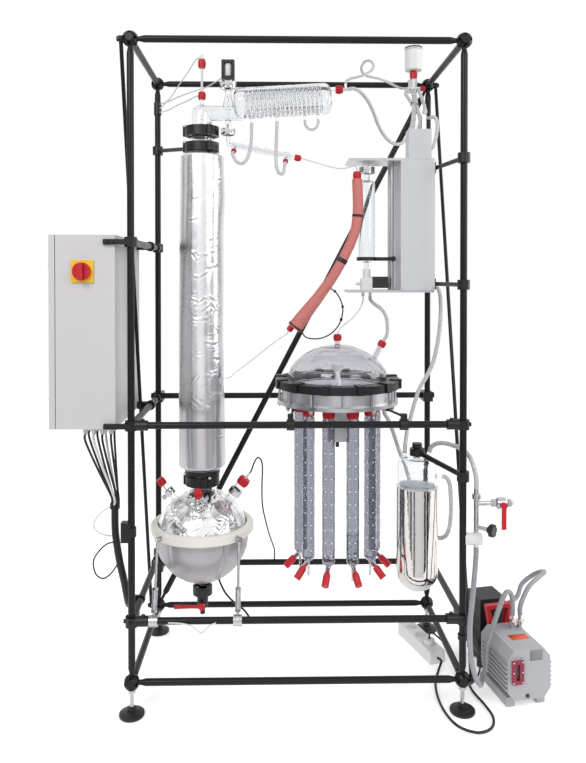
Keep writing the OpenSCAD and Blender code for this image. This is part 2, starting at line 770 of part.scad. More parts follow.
module bar_clamps() {
  wall_pad = 8;
  color(c_clamp) {
    // Front bars, and side bars on the same castings
    translate([0, 0, mid_bar_z])
      difference() {
        union() {
          post_clamp([0, 90]);
          difference() {
            box([cab_x1 - 34, cab_y0 - 9, -8], [0, cab_y0, 8]);
            cylinder(r = tube_r + clear, h = clamp_h, center = true);
          }
        }
        cylinder(r = tube_r + clear, h = clamp_h + 2, center = true);
      }
    translate([frame_w, 0, mid_bar_z])
      post_clamp([180]);
    translate([0, 0, low_bar_z])
      post_clamp([0, 90]);
    translate([frame_w, 0, low_bar_z])
      post_clamp([180, 90]);
    for (x = [0, frame_w])
      translate([x, frame_d, low_bar_z + 9])
        side_end_clamp(-9);
    translate([0, frame_d, top_bar_z])
      post_clamp([270]);
    translate([0, 0, top_bar_z])
      cabinet_post_arm();
    for (z = [mid_bar_z, top_bar_z])
      translate([0, cab_y1 - 34, z])
        cabinet_bar_arm();
    // Rear bars
    for (x = [0, frame_w], z = [mid_bar_z, rear_low_z])
      translate([x, frame_d, z])
        cross_clamp(x == 0 && z == mid_bar_z);
    // Bolts of the side braces
    for (p = [[0, 0, top_z, -1], [0, frame_d, hub_z, -1],
         [frame_w, frame_d, top_z, 1], [frame_w, 0, hub_z, 1]])
      translate([p[0] + p[3] * hub_flat, p[1], p[2]])
        rotate([0, 90 * p[3], 0]) {
          cylinder(r = bolt_r, h = brace_eye_t + 2 * part_gap);
          translate([0, 0, brace_eye_t + 2 * part_gap])
            cylinder(r = 8, h = 6, $fn = 6);
        }
    // Clamp arm and plug of the cold trap
    difference() {
      union() {
        translate(trap_at + [0, 0, 100])
          cylinder(r = 24, h = 22);
        bar(trap_at + [0, 0, 111], [frame_w, 0, trap_arm_z], 8);
        translate([frame_w, 0, trap_arm_z])
          cylinder(r = tube_r + clamp_wall, h = clamp_h, center = true);
      }
      translate(trap_at + [0, 0, 90])
        cylinder(r = trap_neck_r + clear, h = 60);
      translate([frame_w, 0, trap_arm_z])
        cylinder(r = tube_r + clear, h = 2 * clamp_h, center = true);
    }
    translate(trap_at + [0, 0, trap_neck_top])
      cylinder(r = 16, h = 14);
    collector_holder(holder_dx[0], -1);
    collector_holder(holder_dx[1], 1);
    // Ties and cable holders
    translate([tie_x, tie_y, tie_z])
      cylinder(r = 15, h = 14);
    difference() {
      union() {
        translate([0, holder_y, low_bar_z])
          rotate([-90, 0, 0])
            cylinder(r = tube_r + 4, h = 12);
        box([-35, holder_y, low_bar_z - 12], [-10, holder_y + 12, low_bar_z + 12]);
      }
      translate([0, holder_y - 1, low_bar_z])
        rotate([-90, 0, 0])
          cylinder(r = tube_r + clear, h = 20);
    }
    difference() {
      union() {
        box([-30, -12, 525], [0, 12, 585]);
        translate([0, 0, 541])
          cylinder(r = tube_r + 4, h = 28);
      }
      cylinder(r = tube_r + clear, h = 900);
    }
    translate([0, frame_d, top_z - 115])
      ring(tube_r + 3, tube_r + clear, 46);
    translate([frame_w, 0, 222])
      ring(tube_r + 4, tube_r + clear, 16);
    // Arms to the burette housing
    for (z = [bur_z0 + 20, bur_z1 - 20])
      translate([frame_w, 0, z]) {
        post_rod([bur_x1 + wall_pad - frame_w, bur_y0 + 40, 0], 7);
      }
    for (z = [bur_z0 + 20, bur_z1 - 20])
      difference() {
        box([bur_x1, bur_y0 + 20, z - 18], [bur_x1 + wall_pad, bur_y0 + 60, z + 18]);
        translate([frame_w, 0, z])
          bar([0, 0, 0], [bur_x1 + wall_pad - frame_w, bur_y0 + 40, 0], 7 + clear);
      }
  }
}

// Casting on a post for a side bar that sits lower or higher than the ring.
// Ring on the front bar with a rod to a pad under the collector's base.
module collector_holder(dx, side) {
  foot = [col_x + dx, 0, mid_bar_z];
  seat = [col_x + side * holder_end[0], col_y + holder_end[1], base_z];
  difference() {
    union() {
      translate(foot)
        rotate([0, 90, 0])
          cylinder(r = tube_r + 6, h = 24, center = true);
      translate(foot)
        box([-9, -9, 0], [9, 9, 33]);
      bar(foot + [0, 0, 24], seat - [0, 0, 6], 4);
      translate(seat - [0, 0, 11])
        cylinder(r = 7, h = 11 - seam);
    }
    translate(foot)
      rotate([0, 90, 0])
        cylinder(r = tube_r + clear, h = 40, center = true);
  }
}

module side_end_clamp(drop) {
  difference() {
    union() {
      cylinder(r = tube_r + clamp_wall, h = clamp_h, center = true);
      translate([0, 0, drop])
        rotate([90, 0, 0])
          cylinder(r = tube_r + socket_wall, h = bar_start + socket_l);
    }
    cylinder(r = tube_r + clear, h = 300, center = true);
    translate([0, -bar_start + part_gap, drop])
      rotate([90, 0, 0])
        cylinder(r = tube_r + clear, h = socket_l + 10);
  }
}

module levelling_feet() {
  color(c_black)
    for (x = [0, frame_w], y = [0, frame_d])
      translate([x, y, 0]) {
        rotate_extrude()
          polygon([[0, 0], [foot_d / 2 - 2, 0], [foot_d / 2, 2], [foot_d / 2, pad_h],
              [14, pad_h + 8], [14, pad_h + 16], [spindle_r, pad_h + 20],
              [spindle_r, hub_z - hub_flat + spindle_in - 1],
              [0, hub_z - hub_flat + spindle_in - 1]]);
        translate([0, 0, hub_z - hub_flat - lock_nut_h])
          difference() {
            cylinder(r = 2 * spindle_r, h = lock_nut_h, $fn = 6);
            translate([0, 0, -1])
              cylinder(r = spindle_r + run_fit, h = lock_nut_h + 2);
          }
      }
}

// Cabinet

module cabinet_body() {
  color(c_cabinet) {
    difference() {
      box([cab_x0, cab_y0, cab_z0], [cab_x1, cab_y1, cab_z1]);
      box([cab_x0 - 1, cab_y0 + sheet_t, cab_z0 + sheet_t],
        [cab_x1 - sheet_t, cab_y1 - sheet_t, cab_z1 - sheet_t]);
      translate([switch_x, cab_y0 - 1, switch_z])
        rotate([-90, 0, 0])
          cylinder(r = switch_spindle_r + run_fit, h = sheet_t + 2);
    }
    for (z = hinge_zs)
      translate([hinge_x, hinge_y, z]) {
        difference() {
          union() {
            for (s = [-1, 1])
              translate([0, 0, s * (knuckle_h + part_gap)]) {
                cylinder(r = hinge_r, h = knuckle_h, center = true);
                box([0, cab_y1 - hinge_y, -knuckle_h / 2], [28, -2, knuckle_h / 2]);
              }
            box([14, cab_y1 - hinge_y, -knuckle_h * 1.5],
              [28, cab_y1 - hinge_y + 4, knuckle_h * 1.5]);
          }
          cylinder(r = hinge_pin_r + run_fit, h = 4 * knuckle_h, center = true);
        }
        cylinder(r = hinge_pin_r, h = 3 * knuckle_h + 4, center = true);
      }
  }
}

module cabinet_door() {
  lip = 14;
  color(c_cabinet)
    difference() {
      union() {
        difference() {
          box([door_x0, cab_y0, cab_z0], [door_x1, cab_y1, cab_z1]);
          box([door_x0 + sheet_t, cab_y0 + sheet_t, cab_z0 + sheet_t],
            [door_x1 + 1, cab_y1 - sheet_t, cab_z1 - sheet_t]);
        }
        for (z = hinge_zs) {
          translate([hinge_x, hinge_y, z])
            cylinder(r = hinge_r, h = knuckle_h, center = true);
          box([door_x0 + 2, cab_y1 - sheet_t, z - knuckle_h / 2],
            [hinge_x - hinge_pin_r - 1, hinge_y + 2, z + knuckle_h / 2]);
        }
        for (z = [cab_z0 + 90, cab_z1 - 90])
          translate([door_x0 - 4, cab_y0 + 24, z])
            rotate([0, 90, 0])
              cylinder(r = lip, h = 5);
      }
      for (z = hinge_zs)
        translate([hinge_x, hinge_y, z])
          cylinder(r = hinge_pin_r + run_fit, h = 2 * knuckle_h, center = true);
      for (z = [cab_z0 + 90, cab_z1 - 90])
        translate([door_x0 - 5, cab_y0 + 24, z])
          rotate([0, 90, 0])
            cylinder(r = 6, h = 4, $fn = 3);
    }
}

module cabinet_internals() {
  plate_in = 20;
  plate_x1 = cab_x1 - sheet_t - 10;
  rail_zs = [cab_z0 + 130, cab_z0 + 270, cab_z0 + 400];
  module_h = 90;
  color(c_grey) {
    // Plate on four bosses
    difference() {
      box([plate_x1 - 2.5, cab_y0 + plate_in, cab_z0 + plate_in],
        [plate_x1, cab_y1 - plate_in, cab_z1 - plate_in]);
      box([plate_x1 - 3, cab_y0, switch_z - switch_box],
        [plate_x1 + 1, cab_y0 + 60, switch_z + switch_box]);
    }
    for (y = [cab_y0 + plate_in + 20, cab_y1 - plate_in - 20], z = [cab_z0 + 40, cab_z1 - 60])
      if (y > cab_y0 + 60 || z < switch_z - switch_box)
        bar([plate_x1 + seam, y, z], [cab_x1 - sheet_t - seam, y, z], 6);
    // Rails with relays, drives and terminals
    for (z = rail_zs)
      box([plate_x1 - 10, cab_y0 + 34, z - 17], [plate_x1 - 2.5 - seam, cab_y1 - 34, z + 17]);
    for (z = rail_zs, i = [0:4])
      box([plate_x1 - 80 + 8 * (i % 2), cab_y0 + 44 + i * 60, z - module_h / 2],
        [plate_x1 - 10 - seam, cab_y0 + 94 + i * 60, z + module_h / 2]);
    // Switch block behind the front wall
    difference() {
      box([switch_x - switch_box / 2, cab_y0 + sheet_t, switch_z - switch_box / 2],
        [switch_x + switch_box / 2, cab_y0 + 40, switch_z + switch_box / 2]);
      translate([switch_x, cab_y0, switch_z])
        rotate([-90, 0, 0])
          cylinder(r = switch_spindle_r + run_fit, h = 20);
    }
  }
}

module cable_glands() {
  color(c_steel)
    for (x = gland_xs, y = gland_ys)
      translate([x, y, cab_z0]) {
        translate([0, 0, -8])
          cylinder(r = gland_r, h = 8, $fn = 6);
        translate([0, 0, -gland_h])
          cylinder(r1 = gland_r * 0.6, r2 = gland_r * 0.82, h = gland_h - 8);
      }
}

module main_switch_plate() {
  half = switch_plate / 2;
  color(c_yellow)
    difference() {
      box([switch_x - half, cab_y0 - switch_plate_t, switch_z - half],
        [switch_x + half, cab_y0, switch_z + half]);
      translate([switch_x, cab_y0 - switch_plate_t - 1, switch_z])
        rotate([-90, 0, 0])
          cylinder(r = switch_spindle_r + run_fit, h = switch_plate_t + 2);
    }
}

module main_switch_handle() {
  front = cab_y0 - switch_plate_t - part_gap;
  color(c_red)
    translate([switch_x, front, switch_z])
      rotate([90, 0, 0]) {
        cylinder(r = switch_knob_r, h = 12);
        translate([-switch_knob_r * 0.27, -switch_knob_r * 0.94, 11])
          cube([switch_knob_r * 0.54, switch_knob_r * 1.88, 15]);
        translate([0, 0, -switch_plate_t - 15])
          cylinder(r = switch_spindle_r, h = switch_plate_t + 16);
      }
}

// Vessel

function neck_rad(a) = a == 0 ? neck_side_r : neck_side_r - 5;

module side_necks(extra, z0, z1) {
  for (a = neck_azimuths)
    rotate([0, 0, a])
      rotate([0, neck_tilt, 0])
        translate([0, 0, z0])
          cylinder(r = neck_rad(a) + extra, h = z1 - z0);
}

module flask() {
  color(c_glass)
    at_column(flask_z)
      difference() {
        union() {
          sphere(r = flask_r);
          cylinder(r = neck_main_r - 4, h = neck_top);
          translate([0, 0, neck_top - flange_t])
            cylinder(r = flange_r, h = flange_t);
          translate([0, 0, drain_joint])
            cylinder(r = drain_neck_r, h = 80);
          translate([0, 0, drain_joint])
            cylinder(r = drain_flange_r, h = 8);
          side_necks(0, flask_r * 0.6, neck_side_end);
        }
        sphere(r = flask_r - glass_t);
        cylinder(r = neck_main_r - 4 - glass_t, h = neck_top + 1);
        translate([0, 0, drain_joint - 1])
          cylinder(r = drain_neck_r - glass_t, h = 90);
        side_necks(-3, flask_r * 0.6, neck_side_end + 1);
      }
}

module flask_cover() {
  color(c_foil)
    at_column(flask_z)
      difference() {
        sphere(r = cover_r);
        sphere(r = flask_r + 0.4);
        translate([0, 0, ring_up - ring_half + 1 - 2 * cover_r])
          cylinder(r = 2 * cover_r, h = 2 * cover_r);
        cylinder(r = neck_main_r + 1, h = 2 * cover_r);
        side_necks(2, flask_r * 0.6, neck_side_end);
      }
}

module mantle_ring() {
  edge = 5;
  color(c_cream)
    at_column(flask_z + ring_up)
      rotate_extrude()
        polygon([[ring_in, -ring_half], [ring_out - edge, -ring_half],
            [ring_out, -ring_half + edge], [ring_out, ring_half - edge],
            [ring_out - edge, ring_half], [ring_in - ring_lean, ring_half]]);
}

module heating_mantle() {
  color(c_grey)
    at_column(flask_z)
      difference() {
        sphere(r = mantle_r);
        sphere(r = flask_r + 0.4);
        translate([0, 0, ring_up - ring_half])
          cylinder(r = 2 * mantle_r, h = 2 * mantle_r);
        translate([0, 0, -2 * mantle_r])
          cylinder(r = drain_neck_r + 10, h = 2 * mantle_r);
      }
}

// Strut from the ring to a bar, with a lug, a turnbuckle and a bar ring.
module vessel_leg(lug, outward, foot) {
  difference() {
    union() {
      bar(foot, lug, leg_r);
      along(foot, lug) {
        translate([0, 0, tube_r + 20])
          cylinder(r = leg_nut_r, h = 54);
        translate([0, 0, tube_r + 12])
          cylinder(r = leg_nut_r + 1, h = 8, $fn = 6);
        translate([0, 0, tube_r + 74])
          cylinder(r = leg_nut_r + 1, h = 8, $fn = 6);
      }
      bar(lug - outward * (leg_top_r - ring_out - part_gap), lug + outward * 8, 8);
      translate(foot)
        rotate([0, 90, 0])
          cylinder(r = tube_r + 6, h = 26, center = true);
    }
    translate(foot)
      rotate([0, 90, 0])
        cylinder(r = tube_r + clear, h = 40, center = true);
  }
}

module vessel_legs() {
  color(c_steel) {
    for (s = [-1, 1])
      vessel_leg([still_x + s * leg_dx, still_y - leg_dx, flask_z + ring_up],
           [s * sin(45), -sin(45), 0], [still_x + s * leg_dx, 0, low_bar_z]);
    vessel_leg([still_x, still_y + leg_top_r, flask_z + ring_up], [0, 1, 0],
         [still_x, rear_bar_y, rear_low_z]);
  }
}

module drain_valve_body() {
  boss_y = -tap_r - tap_boss;
  color(c_black)
    at_column(flask_z) {
      difference() {
        union() {
          translate([0, 0, drain_joint - 8])
            cylinder(r = drain_flange_r, h = 8);
          translate([0, 0, drain_joint - tap_h])
            cylinder(r = tap_r, h = tap_h);
          translate([0, 0, drain_joint - tap_h - 24])
            cylinder(r = 8, h = 26);
          translate([0, boss_y, tap_stem_z])
            rotate([-90, 0, 0])
              cylinder(r = 10, h = tap_boss + 4);
        }
        translate([0, 0, drain_joint - tap_h - 30])
          cylinder(r = 5, h = 40);
        translate([0, boss_y - 1, tap_stem_z])
          rotate([-90, 0, 0])
            cylinder(r = lever_pin_r + run_fit, h = 15);
      }
      // Clamp round the drain joint
      translate([0, 0, drain_joint - 14])
        ring(drain_flange_r + 8, drain_flange_r + part_gap, 26);
    }
}

module drain_valve_lever() {
  face = -tap_r - tap_boss - part_gap;
  hub_t = 10;
  grip_l = 66;
  color(c_red)
    at_column(flask_z)
      translate([0, face, tap_stem_z]) {
        rotate([90, 0, 0])
          cylinder(r = 11, h = hub_t);
        translate([0, 13, 0])
          rotate([90, 0, 0])
            cylinder(r = lever_pin_r, h = 14);
        translate([-28, -hub_t + 2, -5])
          cube([28, hub_t - 4, 10]);
        translate([-24, -hub_t / 2, 0])
          rotate([0, -90, 0])
            cylinder(r1 = 5, r2 = 7, h = grip_l);
      }
}

// Column

module flanged_tube(r, wall, z0, z1) {
  difference() {
    union() {
      translate([0, 0, z0])
        cylinder(r = r, h = z1 - z0);
      translate([0, 0, z0])
        cylinder(r = flange_r, h = flange_t);
      translate([0, 0, z1 - flange_t])
        cylinder(r = flange_r, h = flange_t);
    }
    translate([0, 0, z0 - 1])
      cylinder(r = r - wall, h = z1 - z0 + 2);
  }
}

module column_tube() {
  color(c_glass)
    at_column(0) {
      flanged_tube(column_r, glass_t, joint_a, joint_b);
      flanged_tube(column_r - 4, glass_t, joint_b + seam, joint_c - seam);
    }
}

module column_packing() {
  color(c_steel)
    at_column(jacket_z0)
      cylinder(r = column_r - glass_t - 0.4, h = jacket_z1 - jacket_z0 - 20);
}

module column_jacket() {
  len = jacket_z1 - jacket_z0;
  bore = column_r + 0.5;
  color(c_foil)
    at_column(jacket_z0)
      rotate_extrude()
        polygon([[bore, 0], [jacket_r - 16, 0], [jacket_r - 4, 6], [jacket_r, 18],
            [jacket_r, len - 20], [jacket_r - 4, len - 8], [jacket_r - 18, len],
            [bore, len]]);
}

// Two-part clamp ring with three bolt ears.
module flange_clamp(r_in, turn) {
  difference() {
    union() {
      translate([0, 0, -clamp_ring_half])
        cylinder(r = clamp_ring_r, h = 2 * clamp_ring_half);
      for (a = [0, 120, 240])
        rotate([0, 0, a + turn])
          translate([clamp_ring_r - 2, 0, -clamp_ring_half])
            cylinder(r = 9, h = 2 * clamp_ring_half);
    }
    translate([0, 0, -clamp_ring_half - 1])
      cylinder(r = r_in, h = 2 * clamp_ring_half + 2);
  }
}

module flange_clamps() {
  arm_end = [-still_x, frame_d - still_y, 40];
  arm_unit = arm_end / norm(arm_end);
  color(c_clamp) {
    at_column(joint_a)
      flange_clamp(flange_r + part_gap, 60);
    at_column(joint_a + 23)
      ring(clamp_ring_r + 2, column_r + 0.4, 14.5);
    at_column(joint_c)
      flange_clamp(flange_r + part_gap, 60);
    // Upper column ring, with its arm to the rear post
    difference() {
      union() {
        at_column(joint_b)
          flange_clamp(flange_r + part_gap, 60);
        at_column(joint_b)
          bar([0, 0, 0], arm_end, 7);
        translate([0, frame_d, joint_b + arm_end[2]])
          cylinder(r = tube_r + clamp_wall, h = clamp_h, center = true);
      }
      at_column(joint_b - 40)
        cylinder(r = flange_r + part_gap, h = 80);
      translate([0, frame_d, joint_b + arm_end[2]])
        cylinder(r = tube_r + clear, h = clamp_h + 40, center = true);
    }
  }
}

// Head and condenser

module head_outer(w) {
  cylinder(r = head_r - w, h = head_top);
  translate([0, 0, head_top])
    sphere(r = head_r - w);
  translate([0, 0, pipe_z])
    rotate([0, 90, 0])
      cylinder(r = pipe_r - w, h = cond_x + 26);
  // Valve neck, up and down from the pipe
  translate([valve_x, 0, pipe_z + pipe_r - 8])
    cylinder(r1 = pipe_r - 5 - w, r2 = 11 - w, h = 40);
  translate([valve_x, 0, pipe_z])
    cylinder(r = 11 - w, h = stem_joint - pipe_z);
  translate([valve_x, 0, 0])
    cylinder(r = 10 - w, h = pipe_z);
  translate([cond_x, 0, cond_z])
    rotate([0, 90 - cond_tilt, 0])
      translate([0, 0, w])
        round_can(condenser_r - w, condenser_len - 2 * w, cond_round - w);
}

module condenser_head() {
  color(c_glass)
    at_head() {
      difference() {
        union() {
          head_outer(0);
          cylinder(r = flange_r, h = flange_t);
          translate([0, 0, head_top + 20])
            cylinder(r = 8, h = 30);
          translate([valve_x, 0, stem_joint - 10])
            cylinder(r = joint_flange_r, h = 10);
          translate([valve_x, 0, 0])
            cylinder(r = low_flange_r, h = 8);
          translate([cond_x, 0, cond_z])
            rotate([0, 90 - cond_tilt, 0]) {
              for (t = cond_ports)
                translate([0, 0, t * condenser_len])
                  rotate([0, 90, 0])
                    cylinder(r = nipple_r, h = condenser_r + port_drop);
              translate([-28, 0, condenser_len - 12])
                cylinder(r = 9, h = 28);
            }
        }
        head_outer(head_wall);
        translate([0, 0, -1])
          cylinder(r = head_r - head_wall, h = 12);
        translate([0, 0, head_top + 20])
          cylinder(r = 4.8, h = 40);
        translate([valve_x, 0, -1])
          cylinder(r = 7.5, h = 20);
        translate([valve_x, 0, stem_joint - 12])
          cylinder(r = 8.5, h = 14);
      }
      // Closed tube of the reflux valve
      difference() {
        union() {
          translate([valve_x, 0, stem_joint + seam])
            cylinder(r = joint_flange_r, h = 8);
          translate([valve_x, 0, stem_joint + seam])
            cylinder(r = stem_r, h = stem_top - stem_joint - seam);
        }
        translate([valve_x, 0, stem_joint - 1])
          cylinder(r = stem_r - 2, h = stem_top - stem_joint - 1);
      }
    }
}

// Rings of a tube swept along a line of points, as one closed skin.
function sweep_dir(p, i) =
  i == 0 ? p[1] - p[0] :
  i == len(p) - 1 ? p[i] - p[i - 1] : p[i + 1] - p[i - 1];
function unit(v) = v / norm(v);
function carry(n, t) = unit(n - (n * t) * t);
function frames(p, i, n) =
  i >= len(p) ? [] :
  let (t = unit(sweep_dir(p, i)), m = carry(n, t))
  concat([[t, m]], frames(p, i + 1, m));

function ring_r(r, i) = is_list(r) ? r[i] : r;

module swept_tube(p, r, sides, first) {
  f = frames(p, 0, first);
  pts = [for (i = [0:len(p) - 1], k = [0:sides - 1])
       p[i] + ring_r(r, i) * (cos(360 * k / sides) * f[i][1]
             + sin(360 * k / sides) * cross(f[i][0], f[i][1]))];
  last = (len(p) - 1) * sides;
  skin = [for (i = [0:len(p) - 2], k = [0:sides - 1], h = [0, 1])
        let (a = i * sides + k, b = i * sides + (k + 1) % sides)
        h == 0 ? [a, a + sides, b + sides] : [a, b + sides, b]];
  ends = concat([for (k = [1:sides - 2]) [0, k, k + 1]],
         [for (k = [1:sides - 2]) [last, last + k + 1, last + k]]);
  polyhedron(points = pts, faces = concat(skin, ends), convexity = 10);
}

module condenser_coil() {
  per_turn = 8;
  steps = coil_turns * per_turn;
  path = [for (i = [0:steps])
        [coil_r * cos(360 * i / per_turn), coil_r * sin(360 * i / per_turn),
        coil_margin + coil_pitch * i / per_turn]];
  self_gap = coil_pitch - 2 * coil_tube_r;
  echo(coil_self_gap = self_gap);
  color(c_glass)
    at_condenser()
      swept_tube(path, coil_tube_r, 6, [1, 0, 0]);
}

module reflux_magnet() {
  half_w = magnet_w / 2;
  half_d = magnet_d / 2;
  window = magnet_w / 2 - 8;
  color(c_black)
    at_head()
      translate([valve_x, 0, magnet_z0]) {
        difference() {
          box([-half_w, -half_d, 0], [half_w, half_d, magnet_h]);
          box([-window, -half_d - 1, magnet_bar],
            [window, half_d + 1, magnet_h - magnet_bar]);
          translate([0, 0, -1])
            cylinder(r = stem_r + part_gap, h = magnet_h - magnet_bar);
        }
        translate([0, 0, magnet_bar + seam])
          ring(window - 0.5, stem_r + part_gap, magnet_h - 2 * magnet_bar - 2);
      }
}

module reflux_valve_rod() {
  color(c_steel)
    at_head()
      translate([valve_x, 0, 0]) {
        translate([0, 0, 14])
          cylinder(r1 = 4, r2 = 6.5, h = 12);
        translate([0, 0, 24])
          cylinder(r = 2.5, h = 152);
        translate([0, 0, 175])
          cylinder(r = stem_r - 2.5, h = 30);
      }
}

// Screwed fork clamp round a glass joint, ears along Y.
module fork_clamp(r_in, turn) {
  rotate([0, 0, turn])
    difference() {
      union() {
        translate([0, 0, -10])
          cylinder(r = r_in + 5, h = 20);
        box([-7, -r_in - 14, -8], [7, r_in + 14, 8]);
        translate([0, r_in + 10, 0])
          rotate([0, 90, 0])
            cylinder(r = 4, h = 34, center = true);
        translate([14, r_in + 10, 0])
          rotate([0, 90, 0])
            cylinder(r = 8, h = 8);
      }
      translate([0, 0, -11])
        cylinder(r = r_in, h = 22);
    }
}

module steel_clamps() {
  bolt_h = 7;
  color(c_steel) {
    at_head() {
      translate([valve_x, 0, stem_joint])
        fork_clamp(joint_flange_r + part_gap, 180);
      translate([valve_x, 0, 0])
        fork_clamp(low_flange_r + part_gap, 180);
    }
    // Bolts on the black clamp rings
    for (z = [joint_a, joint_b, joint_c], a = [60, 180, 300])
      at_column(z + clamp_ring_half)
        rotate([0, 0, a])
          translate([clamp_ring_r + 1, 0, 0])
            cylinder(r = 6.5, h = bolt_h, $fn = 6);
    // Rings on the side necks
    for (a = neck_azimuths)
      at_column(flask_z)
        rotate([0, 0, a])
          rotate([0, neck_tilt, 0])
            translate([0, 0, cover_r + 26])
              fork_clamp(neck_rad(a) + part_gap, 0);
    // Tee on the condenser's end
    at_condenser()
      translate([-28, 0, condenser_len + 40]) {
        cylinder(r = 5.5, h = 20);
        translate([0, 0, 10])
          rotate([0, -90, 0])
            cylinder(r = 4.5, h = 16);
      }
    // Hose fitting on the burette's top box
    translate([bur_x0 + 85, bur_y0 + 56, bur_z1 + plate_t + 99 + seam]) {
      cylinder(r = 9, h = 52);
      translate([0, 0, 43])
        rotate([0, 90, 0])
          cylinder(r = 4.5, h = 24);
    }
    // Joint over the measuring cylinder
    translate([glass_x, glass_y, glass_z1 + 34])
      fork_clamp(joint_flange_r + part_gap, 0);
  }
}

module product_cooler() {
  jacket_from = 9;
  jacket_to = 214;
  drop = 26;
  color(c_glass)
    difference() {
      union() {
        at_head()
          translate([valve_x, 0, 0]) {
            translate([0, 0, -8])
              cylinder(r = low_flange_r, h = 8);
            translate([0, 0, -40])
              cylinder(r = 7, h = 40);
            translate([0, 0, -40])
              sphere(r = 7);
          }
        at_cooler() {
          cylinder(r = 5.5, h = cooler_len);
          translate([0, 0, jacket_from])
            cylinder(r = cooler_r, h = jacket_to - jacket_from);
          for (s = cooler_ports)
            translate([0, 0, s])
              rotate([0, 90, -45])
                translate([0, 0, cooler_r - 1])
                  cylinder(r = nipple_r, h = drop - cooler_r);
        }
      }
      at_head()
        translate([valve_x, 0, -40])
          cylinder(r = 4, h = 50);
      at_cooler()
        translate([0, 0, -1])
          cylinder(r = 3.5, h = cooler_len + 2);
      at_cooler()
        translate([0, 0, jacket_from + 3])
          ring(cooler_r - 1.8, 5.5, jacket_to - jacket_from - 6);
    }
}

module temperature_probes() {
  color(c_white) {
    at_head() {
      translate([0, 0, 40])
        cylinder(r = 4, h = 169);
      translate([0, 0, 237])
        cylinder(r1 = 6, r2 = 4, h = 16);
    }
    at_column(flask_z)
      rotate([0, neck_tilt, 0])
        translate([0, 0, neck_side_end + 26])
          cylinder(r = 4, h = 22);
  }
}

// Ribbed red screw cap standing on Z = 0, with an optional bore.
module screw_cap(r, h, bore) {
  difference() {
    union() {
      cylinder(r = r - 1, h = h);
      translate([0, 0, h * 0.15])
        cylinder(r = r, h = h * 0.6);
    }
    if (bore > 0)
      translate([0, 0, -1])
        cylinder(r = bore, h = h + 2);
  }
}

module screw_caps() {
  color(c_red) {
    at_head() {
      translate([0, 0, head_top + 50])
        screw_cap(cap_r, 24, 4.3);
      translate([0, 0, 209])
        screw_cap(cap_r, 28, 0);
    }
    at_condenser()
      translate([-28, 0, condenser_len + 16])
        screw_cap(cap_r + 1, 24, 0);
    at_cooler() {
      translate([0, 0, cooler_len])
        screw_cap(10, 22, 0);
      for (s = cooler_ports)
        translate([0, 0, s])
          rotate([0, 90, -45])
            translate([0, 0, 25])
              screw_cap(8, 12, 0);
    }
    for (a = neck_azimuths)
      at_column(flask_z)
        rotate([0, 0, a])
          rotate([0, neck_tilt, 0])
            translate([0, 0, neck_side_end])
              screw_cap(a == 0 ? 19 : 13, 26, 0);
    // Collector necks and receiver tops
    at_collector(dome_z + dome_side + dome_arch + 12 + dome_neck_l)
      screw_cap(13, 22, 0);
    at_collector(0)
      dome_neck_place()
        translate([0, 0, 54])
          screw_cap(13, 22, 0);
    for (a = receiver_ports)
      at_collector(receiver_top - 8)
        rotate([0, 0, a])
          translate([0, -receiver_circle, 0])
            ring(receiver_r - 1, port_r + part_gap, 25);
    // Ends of the insulated line
    translate(line_top)
      screw_cap(13, 24, 0);
    along(line_end + 10 * [-0.8, 0, 0.6], line_end + [-0.6, 0, -0.8] + 10 * [-0.8, 0, 0.6])
      screw_cap(10, 20, 0);
    // Pressure sensor
    translate([frame_w - 60, frame_d - 30, top_z + 15])
      screw_cap(13, 29, 0);
    translate([frame_w - 36, frame_d - 30, top_z - 20])
      rotate([0, 90, 0])
        screw_cap(9, 18, 0);
  }
}

// Burette

module burette_housing() {
  color(c_white) {
    difference() {
      box([bur_x0, bur_y0, bur_z0], [bur_x1, bur_y1, bur_z1]);
      box([bur_x0 + 3, bur_y0 + 3, bur_z0 + 3], [bur_x1 - 3, bur_y1 - 3, bur_z1 - 3]);
    }
    translate([bur_x1 + seam, bur_y0 + 92, bur_z0 + 15])
      rotate([0, 90, 0])
        cylinder(r = nipple_r + 1, h = 14);
    box([bur_x0 + 30, bur_y0 + 25, bur_z1 + plate_t],
      [bur_x0 + 105, bur_y0 + 83, bur_z1 + plate_t + 99]);
  }
}

module burette_frame() {
  color(c_steel) {
    difference() {
      box([plate_x0, bur_y0 + 6, bur_z1], [bur_x1, bur_y0 + 130, bur_z1 + plate_t]);
      translate([glass_x, glass_y, bur_z1 - 1])
        cylinder(r = 12 + part_gap, h = plate_t + 2);
    }
    box([plate_x0 - 3, bur_y0 + 6, bur_z0 - plate_t], [bur_x1, bur_y0 + 130, bur_z0]);
    for (y = [rail_y, rail_y + 52])
      bar([rail_x, y, bur_z0 + seam], [rail_x, y, bur_z1 - seam], rail_r);
  }
}

module burette_cylinder() {
  color(c_glass)
    translate([glass_x, glass_y, 0])
      difference() {
        union() {
          translate([0, 0, glass_z0])
            round_can(burette_r, glass_z1 - glass_z0, 14);
          translate([0, 0, glass_z1 - 4])
            cylinder(r = 11, h = bur_z1 + plate_t + 10 - glass_z1);
          translate([0, 0, glass_z1 + 24])
            cylinder(r = joint_flange_r, h = 20);
          translate([0, 0, glass_z0 - 22])
            cylinder(r = 8, h = 30);
        }
        translate([0, 0, glass_z0 + 3])
          round_can(burette_r - 2.5, glass_z1 - glass_z0 - 6, 11.5);
        translate([0, 0, glass_z1 - 10])
          cylinder(r = 8, h = 100);
        translate([0, 0, glass_z0 - 23])
          cylinder(r = 5, h = 40);
      }
}

